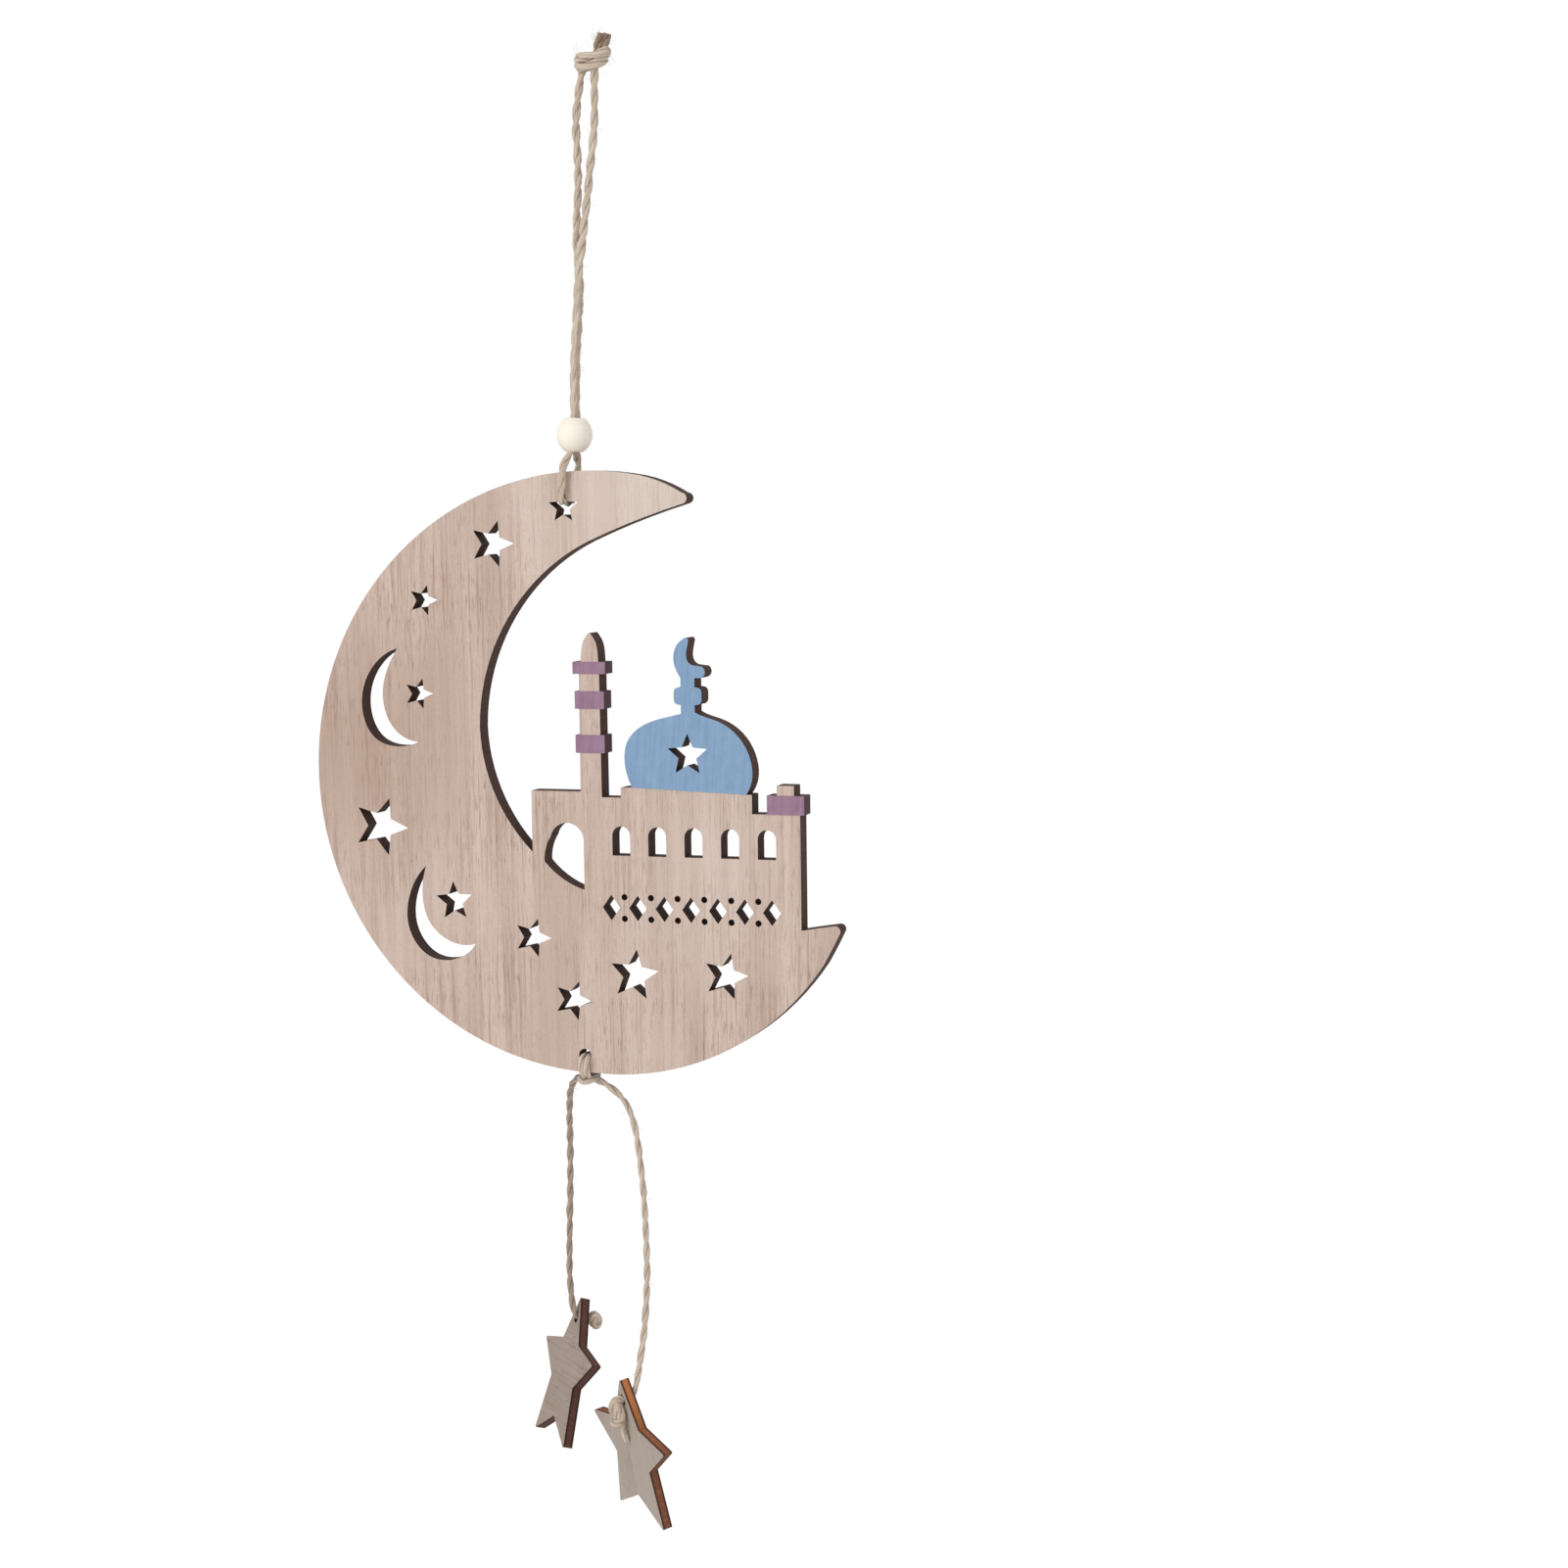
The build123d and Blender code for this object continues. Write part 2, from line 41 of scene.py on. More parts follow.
# %% Load the frame
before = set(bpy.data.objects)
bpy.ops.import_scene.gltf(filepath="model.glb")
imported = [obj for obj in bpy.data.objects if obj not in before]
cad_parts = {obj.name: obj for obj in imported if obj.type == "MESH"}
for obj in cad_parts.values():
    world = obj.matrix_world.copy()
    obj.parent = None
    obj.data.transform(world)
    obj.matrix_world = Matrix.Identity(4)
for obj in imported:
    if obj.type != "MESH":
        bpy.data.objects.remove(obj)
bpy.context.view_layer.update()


# %% [markdown]
# ## Units
# Places on the ornament are easiest to read in millimetres, while the frame is in metres.

# %% Units and small helpers
MM_PER_M = 1000


def mm(*place):
    """A place in millimetres as a vector in metres."""
    return Vector(place) / MM_PER_M


def link(thing):
    """Put a new object into the scene."""
    bpy.context.scene.collection.objects.link(thing)
    return thing


print("10 mm is", round(mm(10, 0, 0).x, 3), "m")

# %% [markdown]
# ## Camera
# The photograph looks at the plate from its right and a little from above. The camera's
# axes were measured from the plate's outline and its pierced stars, so the camera is set
# from these axes and needs no aiming.

# %% Camera
camera_data = bpy.data.cameras.new("photo_camera")
camera_data.sensor_width = 36.0
camera_data.lens = 67.46
camera_data.clip_start = 0.01
camera_data.clip_end = 20.0
camera = link(bpy.data.objects.new("photo_camera", camera_data))
camera_right = Vector((0.94862, 0.31058, 0.06043))
camera_up = Vector((-0.09622, 0.10122, 0.9902))
camera_back = Vector((0.30142, -0.94514, 0.12591))
camera_turn = Matrix((camera_right, camera_up, camera_back)).transposed().to_4x4()
camera_place = mm(275.01, -675.82, -76.25)
camera.matrix_world = Matrix.Translation(camera_place) @ camera_turn
bpy.context.scene.camera = camera
print("camera at", [round(part, 3) for part in camera.matrix_world.translation])


# %% [markdown]
# ## Helpers for node trees
# Colours are written as sRGB hex values, as a colour picker shows them, and one function
# turns them to the linear values that a shader wants. One function adds a node to any
# tree: it sets the node's options, then gives each input a value or a link.

# %% Colour and node helpers
def linear(hex_colour):
    """An sRGB hex colour as linear red, green, blue and alpha."""
    parts = [int(hex_colour[place:place + 2], 16) / 255 for place in (1, 3, 5)]
    bent = [
        ((part + 0.055) / 1.055) ** 2.4 if part > 0.04045 else part / 12.92 for part in parts
    ]
    return (*bent, 1.0)


def add_node(tree, kind, options=None, inputs=None):
    """Add one node, with its options set and its inputs filled or linked."""
    node = tree.nodes.new(kind)
    for name, value in (options or {}).items():
        setattr(node, name, value)
    for key, value in (inputs or {}).items():
        if isinstance(value, bpy.types.NodeSocket):
            tree.links.new(value, node.inputs[key])
        else:
            node.inputs[key].default_value = value
    return node


def new_material(name):
    """An empty material with a Principled shader on its output."""
    material = bpy.data.materials.new(name)
    material.use_nodes = True
    material.node_tree.nodes.clear()
    shader = add_node(material.node_tree, "ShaderNodeBsdfPrincipled")
    surface = {"Surface": shader.outputs[0]}
    add_node(material.node_tree, "ShaderNodeOutputMaterial", None, surface)
    return material, material.node_tree, shader


print("linear value of mid grey:", round(linear("#808080")[0], 3))


# %% [markdown]
# ## Sums in a node tree
# A material is a chain of small sums: some noise, spread to a range, mixes two colours.
# Short functions for these sums keep the materials easy to read.

# %% Sums in a node tree
def maths(tree, operation, *values):
    """One sum of numbers in a node tree, as a socket."""
    node = add_node(tree, "ShaderNodeMath", {"operation": operation}, dict(enumerate(values)))
    return node.outputs[0]


def vectors(tree, operation, *values):
    """One sum of vectors in a node tree, as a socket."""
    inputs = dict(enumerate(values))
    if operation == "SCALE":
        inputs = {0: values[0], "Scale": values[1]}
    node = add_node(tree, "ShaderNodeVectorMath", {"operation": operation}, inputs)
    gives_number = operation in ("DISTANCE", "DOT_PRODUCT", "LENGTH")
    return node.outputs["Value" if gives_number else "Vector"]


def joined(tree, *parts):
    """Three numbers as one vector."""
    return add_node(tree, "ShaderNodeCombineXYZ", None, dict(enumerate(parts))).outputs[0]


def ranged(tree, value, low, high, to_low=0.0, to_high=1.0):
    """A value spread from one range to another and held inside it."""
    inputs = {"Value": value, "From Min": low, "From Max": high}
    inputs.update({"To Min": to_low, "To Max": to_high})
    return add_node(tree, "ShaderNodeMapRange", None, inputs).outputs[0]


def blended(tree, share, first, second):
    """Two colours mixed by a share."""
    options = {"data_type": "RGBA", "blend_type": "MIX"}
    return add_node(tree, "ShaderNodeMix", options, {0: share, 6: first, 7: second}).outputs[2]


def noise(tree, place, detail=2.0, roughness=0.5):
    """Soft noise between 0 and 1 at a place that is already scaled."""
    inputs = {"Vector": place, "Scale": 1.0, "Detail": detail, "Roughness": roughness}
    return add_node(tree, "ShaderNodeTexNoise", None, inputs).outputs["Fac"]


def bumped(tree, shader, strength, distance, height):
    """Let a shader's surface follow a small relief."""
    inputs = {"Strength": strength, "Distance": distance, "Height": height}
    bump = add_node(tree, "ShaderNodeBump", None, inputs)
    tree.links.new(bump.outputs[0], shader.inputs["Normal"])


print("sums for node trees are ready")

# %% [markdown]
# ## Jute
# Jute twine is dull, beige and hairy. Its fibres run along each ply with small changes of
# colour from one to the next, and painted shade darkens the groove between two plies. The
# twine's mesh carries three values for this: how far along it a point is, where round the ply
# it is, and how far from the middle of the twine it is. Fresh cut ends are browner than the
# rest, and a darker copy of the pale jute paints shade on the left tail, so one function
# makes the jute in several tones.


# %% Jute material
# How far one tone runs along a fibre in metres, and how fast it changes round the ply.
FIBRE_TONES = ((0.006, 3.4), (0.004, 0.9))
FIBRE_RELIEF = 0.00014


def jute(name, shade, light, groove_shade):
    """Dull twine with streaky fibres along each ply and painted shade in the groove between
    plies.
    """
    material, tree, shader = new_material(name)
    run, turn, depth = (
        add_node(tree, "ShaderNodeAttribute", {"attribute_name": value}).outputs["Fac"]
        for value in ("run", "turn", "depth")
    )
    angle = maths(tree, "MULTIPLY", turn, math.tau)
    side_x, side_y = maths(tree, "COSINE", angle), maths(tree, "SINE", angle)
    layers = []
    for fibre_length, fibres_around in FIBRE_TONES:
        spot = joined(tree, side_x, side_y, maths(tree, "DIVIDE", run, fibre_length))
        spot = vectors(tree, "MULTIPLY", spot, (fibres_around, fibres_around, 1.0))
        layers.append(noise(tree, spot, detail=4.0, roughness=0.65))
    colour = blended(tree, ranged(tree, layers[0], 0.34, 0.66), linear(shade), linear(light))
    stain = ranged(tree, layers[1], 0.5, 0.75, 0.0, 0.6)
    colour = blended(tree, stain, colour, linear(shade))
    # Painted shade: near the twine's middle, in the groove between the plies, the colour goes to
    # the groove shade.
    groove = ranged(tree, depth, 0.5, 0.8)
    colour = blended(tree, groove, linear(groove_shade), colour)
    tree.links.new(colour, shader.inputs["Base Color"])
    bumped(tree, shader, 0.7, FIBRE_RELIEF, layers[0])
    shader.inputs["Roughness"].default_value = 0.95
    shader.inputs["Specular IOR Level"].default_value = 0.1
    shader.inputs["Sheen Weight"].default_value = 0.2
    shader.inputs["Sheen Roughness"].default_value = 0.5
    print("made", material.name)
    return material


# The last colour of each jute is the painted shade in the groove between the plies.
pale_jute = jute("jute_twine_pale", "#B39C88", "#E8DBCB", "#927B69")
# A darker copy of the pale jute for the left tail, as painted shade.
shaded_jute = jute("jute_twine_painted_shade", "#8C7A6C", "#C2B1A2", "#6B5A4E")
brown_jute = jute("jute_cut_ends", "#7D6554", "#B39A86", "#5E4A3E")

# %% [markdown]
# ## Twisted twine as Geometry Nodes
# Twine is two plies twisted round each other. The tree takes a line of points, pushes a
# copy of it sideways on a turning offset for each ply, and sweeps a small circle along
# both. Loose fibres are short bent hairs that stand on the line in random directions, and
# at a frayed end they lean one way.
# Each point of the line carries three values: run, its distance along the whole twine, so
# that two pieces of one twine keep one twist; side, the direction from which the twist is
# counted; and size, which is less than one where the twine is squeezed.

# %% Twine tree inputs
PLY_COUNT = 2
PLY_SIDES = 10
HAIR_SIDES = 3
HAIR_STEPS = 4
HAIR_RADIUS = 0.000016
# Shares of the twine's diameter
PLY_SHIFT = 0.17
PLY_RADIUS = 0.34
FIBRE_LIFT = 0.42
HAIR_FOOT = 0.33
# Shares of a hair's length
HAIR_MIDDLE = 0.5
HAIR_TOP = 0.8
HAIR_BEND = 0.6
# Unevenness of the plies
SWELLS_PER_METRE = 220.0
SWELL_LEAST, SWELL_MOST = 0.86, 1.12
FIBRE_CROWD = 1.5
FIBRE_LENGTH = 0.0022
FIBRE_DRIFT = 250.0
twine_tree = bpy.data.node_groups.new("Twisted twine", "GeometryNodeTree")
twine_tree.interface.new_socket("Geometry", in_out="INPUT", socket_type="NodeSocketGeometry")
for input_name, kind, start in (
    ("Diameter", "NodeSocketFloat", 0.0017),
    ("Lay length", "NodeSocketFloat", 0.0105),
    ("Hair spacing", "NodeSocketFloat", 0.00022),
    ("Hair length", "NodeSocketFloat", 0.0008),
    ("Hair lean", "NodeSocketVector", (0.0, 0.0, 0.0)),
    ("Seed", "NodeSocketInt", 1),
    ("Jute", "NodeSocketMaterial", pale_jute),
):
    socket = twine_tree.interface.new_socket(input_name, in_out="INPUT", socket_type=kind)
    socket.default_value = start
twine_tree.interface.new_socket("Geometry", in_out="OUTPUT", socket_type="NodeSocketGeometry")
entry = add_node(twine_tree, "NodeGroupInput")
print("inputs of the twine:", [socket.name for socket in entry.outputs if socket.name])


# %% [markdown]
# ## Helpers for the twine tree
# The tree's own sums, and a way to read and to keep values on the points of the line.

# %% Twine tree helpers
def math_node(operation, *values):
    """One sum of numbers in the twine tree."""
    return maths(twine_tree, operation, *values)


def vector_node(operation, *values):
    """One sum of vectors in the twine tree."""
    return vectors(twine_tree, operation, *values)


def carried(name, kind):
    """A value that the line's points carry."""
    options = {"data_type": kind}
    node = add_node(twine_tree, "GeometryNodeInputNamedAttribute", options, {"Name": name})
    return node.outputs[0]


def store(geometry, name, kind, value):
    """Keep a value on the points of some geometry."""
    return add_node(
        twine_tree,
        "GeometryNodeStoreNamedAttribute",
        {"data_type": kind, "domain": "POINT"},
        {"Geometry": geometry, "Name": name, "Value": value},
    ).outputs[0]


print("helpers for the twine tree are ready")

# %% [markdown]
# ## The two plies
# Each ply is the line itself, pushed sideways by a share of the diameter in a direction
# that turns once per lay length. Spun twine is never even, so each ply swells a little.

# %% The two plies
diameter = entry.outputs["Diameter"]
here = add_node(twine_tree, "GeometryNodeInputPosition").outputs[0]
line_mesh = {"Mesh": entry.outputs["Geometry"]}
line = add_node(twine_tree, "GeometryNodeMeshToCurve", None, line_mesh).outputs[0]
line = store(line, "axis", "FLOAT_VECTOR", here)
run = carried("run", "FLOAT")
side = carried("side", "FLOAT_VECTOR")
size = carried("size", "FLOAT")
tangent = add_node(twine_tree, "GeometryNodeInputTangent").outputs[0]
other_side = vector_node("CROSS_PRODUCT", tangent, side)
turns = math_node("DIVIDE", run, entry.outputs["Lay length"])
shift = math_node("MULTIPLY", math_node("MULTIPLY", diameter, PLY_SHIFT), size)
swell = add_node(
    twine_tree,
    "ShaderNodeTexNoise",
    {"noise_dimensions": "1D"},
    {"W": math_node("MULTIPLY", run, SWELLS_PER_METRE), "Scale": 1.0, "Detail": 2.0},
)
swell = ranged(twine_tree, swell.outputs[0], 0.3, 0.7, SWELL_LEAST, SWELL_MOST)
thickness = math_node("MULTIPLY", swell, size)
profile = add_node(
    twine_tree,
    "GeometryNodeCurvePrimitiveCircle",
    {"mode": "RADIUS"},
    {"Resolution": PLY_SIDES, "Radius": math_node("MULTIPLY", diameter, PLY_RADIUS)},
)
around = add_node(twine_tree, "GeometryNodeSplineParameter")
profile = store(profile.outputs[0], "turn", "FLOAT", around.outputs["Factor"])
plies = add_node(twine_tree, "GeometryNodeJoinGeometry")
for ply in range(PLY_COUNT):
    angle = math_node("MULTIPLY_ADD", turns, math.tau, math.tau * ply / PLY_COUNT)
    outward = vector_node(
        "ADD",
        vector_node("SCALE", side, math_node("COSINE", angle)),
        vector_node("SCALE", other_side, math_node("SINE", angle)),
    )
    moved = add_node(
        twine_tree,
        "GeometryNodeSetPosition",
        None,
        {"Geometry": line, "Offset": vector_node("SCALE", outward, shift)},
    )
    sized = add_node(
        twine_tree,
        "GeometryNodeSetCurveRadius",
        None,
        {"Curve": moved.outputs[0], "Radius": thickness},
    )
    swept = add_node(
        twine_tree,
        "GeometryNodeCurveToMesh",
        None,
        {"Curve": sized.outputs[0], "Profile Curve": profile, "Fill Caps": True},
    )
    twine_tree.links.new(swept.outputs[0], plies.inputs[0])
reach = vector_node("DISTANCE", here, carried("axis", "FLOAT_VECTOR"))
half = math_node("MULTIPLY", math_node("MULTIPLY", diameter, 0.5), size)
plies = store(plies.outputs[0], "depth", "FLOAT", math_node("DIVIDE", reach, half))
print("plies in the twine:", PLY_COUNT)

# %% [markdown]
# ## Uneven fibres
# Jute fibres lie in bundles along the ply, so its surface is lumpy. Noise that is stretched
# along the ply lifts the surface in and out by a share of the diameter.

# %% Uneven fibres on the plies
angle = math_node("MULTIPLY", carried("turn", "FLOAT"), math.tau)
fibre_spot = joined(
    twine_tree,
    math_node("MULTIPLY", math_node("COSINE", angle), FIBRE_CROWD),
    math_node("MULTIPLY", math_node("SINE", angle), FIBRE_CROWD),
    math_node("DIVIDE", run, FIBRE_LENGTH),
)
fibre_spot = vector_node("ADD", fibre_spot, vector_node("SCALE", here, FIBRE_DRIFT))
fibre = noise(twine_tree, fibre_spot, detail=3.0, roughness=0.6)
lift = math_node("MULTIPLY", math_node("SUBTRACT", fibre, 0.5), FIBRE_LIFT)
outward = add_node(twine_tree, "GeometryNodeInputNormal").outputs[0]
plies = add_node(
    twine_tree,
    "GeometryNodeSetPosition",
    None,
    {
        "Geometry": plies,
        "Offset": vector_node("SCALE", outward, math_node("MULTIPLY", lift, diameter)),
    },
).outputs[0]

print("lumps along a ply are", MM_PER_M * FIBRE_LENGTH, "mm long")

# %% [markdown]
# ## Loose fibres
# One bent hair is made once and set on points along the line, each with its own direction
# and size. Most are short and a few are long. All is then made one real mesh.

# %% Loose fibres of the twine
hair_length = entry.outputs["Hair length"]
hair_foot = math_node("MULTIPLY", diameter, HAIR_FOOT)
hair_middle = math_node("MULTIPLY_ADD", hair_length, HAIR_MIDDLE, hair_foot)
hair_top = math_node("MULTIPLY_ADD", hair_length, HAIR_TOP, hair_foot)
hair_bend = math_node("MULTIPLY", hair_length, HAIR_BEND)
hair_line = add_node(
    twine_tree,
    "GeometryNodeCurveQuadraticBezier",
    None,
    {
        "Resolution": HAIR_STEPS,
        "Start": joined(twine_tree, 0.0, 0.0, hair_foot),
        "Middle": joined(twine_tree, 0.0, 0.0, hair_middle),
        "End": joined(twine_tree, hair_bend, 0.0, hair_top),
    },
)
hair_profile = add_node(
    twine_tree,
    "GeometryNodeCurvePrimitiveCircle",
    {"mode": "RADIUS"},
    {"Resolution": HAIR_SIDES, "Radius": HAIR_RADIUS},
)
hair = add_node(
    twine_tree,
    "GeometryNodeCurveToMesh",
    None,
    {"Curve": hair_line.outputs[0], "Profile Curve": hair_profile.outputs[0]},
)
hair = store(hair.outputs[0], "depth", "FLOAT", 1.0)
roots = add_node(
    twine_tree,
    "GeometryNodeCurveToPoints",
    {"mode": "LENGTH"},
    {"Curve": line, "Length": entry.outputs["Hair spacing"]},
)
direction = add_node(
    twine_tree,
    "FunctionNodeRandomValue",
    {"data_type": "FLOAT_VECTOR"},
    {"Min": (-1.0, -1.0, -1.0), "Max": (1.0, 1.0, 1.0), "Seed": entry.outputs["Seed"]},
)
direction = vector_node("ADD", direction.outputs["Value"], entry.outputs["Hair lean"])
facing = add_node(
    twine_tree, "FunctionNodeAlignRotationToVector", {"axis": "Z"}, {"Vector": direction}
)
hair_size = add_node(
    twine_tree,
    "FunctionNodeRandomValue",
    {"data_type": "FLOAT"},
    {2: 0.0, 3: 1.0, "Seed": entry.outputs["Seed"]},
)
hair_size = math_node("MULTIPLY_ADD", math_node("POWER", hair_size.outputs[1], 5.0), 1.6, 0.4)
hairs = add_node(
    twine_tree,
    "GeometryNodeInstanceOnPoints",
    None,
    {
        "Points": roots.outputs[0],
        "Instance": hair,
        "Rotation": facing.outputs[0],
        "Scale": hair_size,
    },
)
whole = add_node(twine_tree, "GeometryNodeJoinGeometry")
twine_tree.links.new(hairs.outputs[0], whole.inputs[0])
twine_tree.links.new(plies, whole.inputs[0])
whole = add_node(twine_tree, "GeometryNodeRealizeInstances", None, {"Geometry": whole.outputs[0]})
smooth = add_node(twine_tree, "GeometryNodeSetShadeSmooth", None, {"Geometry": whole.outputs[0]})
finished = add_node(
    twine_tree,
    "GeometryNodeSetMaterial",
    None,
    {"Geometry": smooth.outputs[0], "Material": entry.outputs["Jute"]},
)
add_node(twine_tree, "NodeGroupOutput", None, {"Geometry": finished.outputs[0]})
print("twine tree has", len(twine_tree.nodes), "nodes")


# %% [markdown]
# ## Routes
# A route is a short list of points. A NURBS spline with those points as its control points
# gives a smooth line, and the twine follows points that are read back from that spline.
# The direction from which the twist is counted is carried along the line with as little
# turning as it can have, so the twist stays even round every bend.

# %% Route helpers
LOOSE_TWINE = 0.0017
STEP = 0.00035


def read_spline(name, controls):
    """The points of a smooth NURBS line with these control points, in metres."""
    data = bpy.data.curves.new(name, "CURVE")
    data.dimensions = "3D"
    data.resolution_u = 32
    spline = data.splines.new("NURBS")
    spline.points.add(len(controls) - 1)
    for point, place in zip(spline.points, controls):
        point.co = (*place, 1.0)
    spline.order_u = 3
    spline.use_endpoint_u = True
    holder = link(bpy.data.objects.new(name, data))
    mesh = bpy.data.meshes.new_from_object(holder)
    points = np.array([vertex.co for vertex in mesh.vertices], float)
    bpy.data.objects.remove(holder)
    bpy.data.meshes.remove(mesh)
    bpy.data.curves.remove(data)
    return points


def distances(points):
    """How far along a line each of its points is."""
    steps = np.linalg.norm(np.diff(points, axis=0), axis=1)
    return np.concatenate(([0.0], np.cumsum(steps)))


def carried_side(points):
    """A sideways direction at each point that turns as little as it can along the line."""
    headings = np.gradient(points, axis=0)
    headings /= np.linalg.norm(headings, axis=1)[:, None]
    side = np.eye(3)[np.argmin(np.abs(headings[0]))]
    sides = []
    for heading in headings:
        side = side - heading * np.dot(side, heading)
        side = side / np.linalg.norm(side)
        sides.append(side)
    return np.array(sides)


def laid(name, controls, run_start=0.0):
    """A route as evenly stepped points with their distance, side and size."""
    points = read_spline(name, controls)
    along = distances(points)
    count = max(6, round(along[-1] / STEP))
    runs = np.linspace(0.0, along[-1], count + 1)
    ways = [np.interp(runs, along, points[:, axis]) for axis in range(3)]
    places = np.stack(ways, axis=1)
    return {
        "place": places,
        "run": runs + run_start,
        "side": carried_side(places),
        "size": np.ones(len(places)),
    }


def piece_of(line, first, last):
    """The stretch of a laid line from one of its points to another."""
    return {name: values[first:last + 1] for name, values in line.items()}


def twist(name, lines, seed, material=pale_jute, diameter=LOOSE_TWINE, **settings):
    """One piece of twine along one or more laid lines, as a plain mesh."""
    places, edges = [], []
    for line in lines:
        first = len(places)
        places += [tuple(place) for place in line["place"]]
        edges += [(first + k, first + k + 1) for k in range(len(line["place"]) - 1)]
    mesh = bpy.data.meshes.new(name + "_line")
    mesh.from_pydata(places, edges, [])
    for value in ("run", "size"):
        values = np.concatenate([line[value] for line in lines])
        mesh.attributes.new(value, "FLOAT", "POINT").data.foreach_set("value", values)
    sides = np.concatenate([line["side"] for line in lines]).ravel()
    mesh.attributes.new("side", "FLOAT_VECTOR", "POINT").data.foreach_set("vector", sides)
    holder = link(bpy.data.objects.new(name + "_line", mesh))
    modifier = holder.modifiers.new("Twine", "NODES")
    modifier.node_group = twine_tree
    wanted = {"Diameter": diameter, "Seed": seed, "Jute": material}
    wanted.update({key.replace("_", " ").capitalize(): value for key, value in settings.items()})
    for item in twine_tree.interface.items_tree:
        if item.item_type == "SOCKET" and item.name in wanted:
            modifier[item.identifier] = wanted[item.name]
    evaluated = holder.evaluated_get(bpy.context.evaluated_depsgraph_get())
    made = bpy.data.meshes.new_from_object(evaluated)
    made.name = name
    bpy.data.objects.remove(holder)
    bpy.data.meshes.remove(mesh)
    piece = link(bpy.data.objects.new(name, made))
    print(name, "has", len(made.polygons), "faces")
    return piece


print("a route has a point every", MM_PER_M * STEP, "mm")

# %% [markdown]
# ## The hanging cord
# One twine goes down from the knot, through the bead, over the plate's face, through the
# top star and back up behind. The ornament can turn under the knot.
# The two strands stay apart for most of the loop and touch above the bead. They are
# squeezed thinner in its bore, and a little where it slides.

# %% Hanging cord
HANGING_TWINE = 0.002
BORE_LOW, BORE_HIGH, SLIDE_TOP = -0.0895, -0.0811, -0.0490
IN_BORE, IN_SLIDE = 0.8, 0.85
hanging_route = [
    mm(0.6, -0.8, 3.4),
    mm(0.9, -0.9, -3.0),
    mm(1.4, -0.9, -8.0),
    mm(1.25, -0.9, -15.0),
    mm(0.75, -0.9, -21.0),
    mm(0.65, -0.9, -26.0),
    mm(0.2, -0.9, -32.0),
    mm(0.0, -0.9, -37.0),
    mm(-0.5, -0.9, -42.5),
    mm(-0.8, -0.88, -48.0),
    mm(-0.8, -0.88, -60.0),
    mm(-0.7, -0.88, -72.0),
    mm(-0.1, -0.88, -78.5),
    mm(0.0, -0.88, -82.0),
    mm(-0.1, -1.1, -88.9),
    mm(-0.5, -2.5, -90.9),
    mm(-1.0, -4.1, -92.9),
    mm(-1.1, -3.9, -96.0),
    mm(-1.1, -3.9, -100.75),
    mm(-1.1, -2.85, -102.0),
    mm(-1.1, 2.85, -102.0),
    mm(-1.1, 3.9, -100.75),
    mm(-0.6, 4.05, -96.0),
    mm(-0.2, 4.2, -92.8),
    mm(0.0, 2.5, -90.9),
    mm(0.05, 1.1, -88.9),
    mm(0.0, 0.88, -82.0),
    mm(-0.2, 0.88, -78.5),
    mm(-0.7, 0.88, -72.0),
    mm(-0.8, 0.88, -60.0),
    mm(-0.8, 0.88, -48.0),
    mm(-1.8, 0.9, -43.5),
    mm(-2.5, 0.9, -38.5),
    mm(-2.75, 0.9, -34.0),
    mm(-2.7, 0.9, -25.6),
    mm(-3.1, 0.9, -20.0),
    mm(-3.8, 0.9, -14.3),
    mm(-4.3, 0.9, -8.7),
    mm(-3.9, 0.9, -2.0),
    mm(-3.1, 0.9, 3.4),
]
hanging_line = laid("hanging_line", hanging_route)
heights = [
    BORE_LOW - 0.0015,
    BORE_LOW,
    BORE_HIGH,
    BORE_HIGH + 0.0015,
    SLIDE_TOP,
    SLIDE_TOP + 0.004,
]
sizes = [1.0, IN_BORE, IN_BORE, IN_SLIDE, IN_SLIDE, 1.0]
hanging_line["size"] = np.interp(hanging_line["place"][:, 2], heights, sizes)
hanging_length = hanging_line["run"][-1]
hanging_cord = twist("hanging_cord", [hanging_line], seed=1, diameter=HANGING_TWINE)
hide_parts("loop_left_strand", "loop_right_strand", "sling_cord")
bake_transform(hanging_cord)
print("hanging cord is", round(1000 * hanging_length, 1), "mm long")

# %% [markdown]
# ## The two tails
# Each tail leaves the hitch under the plate, bends over and hangs down to its star. It
# crosses two joints, where it swings and where the star turns, so it is made as two pieces
# of one twine, an upper and a lower one.

# %% Tail routes
TAIL_CUT = 0.53
left_route = [
    mm(11.9, -0.2, -245.0),
    mm(11.05, 0.1, -245.5),
    mm(9.1, 0.9, -246.2),
    mm(6.8, 3.7, -248.6),
    mm(5.0, 7.2, -252.2),
    mm(3.6, 11.2, -258.2),
    mm(2.9, 14.6, -265.8),
    mm(2.6, 16.7, -275.4),
    mm(2.6, 18.0, -288.5),
    mm(2.6, 19.3, -300.2),
    mm(2.9, 20.0, -306.2),
    mm(3.6, 20.7, -312.0),
    mm(4.38, 21.45, -315.06),
    mm(6.63, 23.24, -315.71),
]
right_route = [
    mm(13.6, -0.6, -244.9),
    mm(14.55, -0.1, -245.4),
    mm(17.6, 1.6, -247.1),
    mm(21.0, 3.4, -250.3),
    mm(23.5, 4.5, -255.2),
    mm(25.4, 4.7, -262.4),
    mm(28.3, 3.7, -277.02),
    mm(30.5, 2.5, -294.52),
    mm(30.9, 1.5, -304.52),
    mm(30.8, 1.22, -311.2),
    mm(30.4, 0.46, -317.14),
    mm(30.1, -0.33, -323.25),
    mm(29.25, -0.58, -325.72),
    mm(27.34, -2.73, -326.35),
]


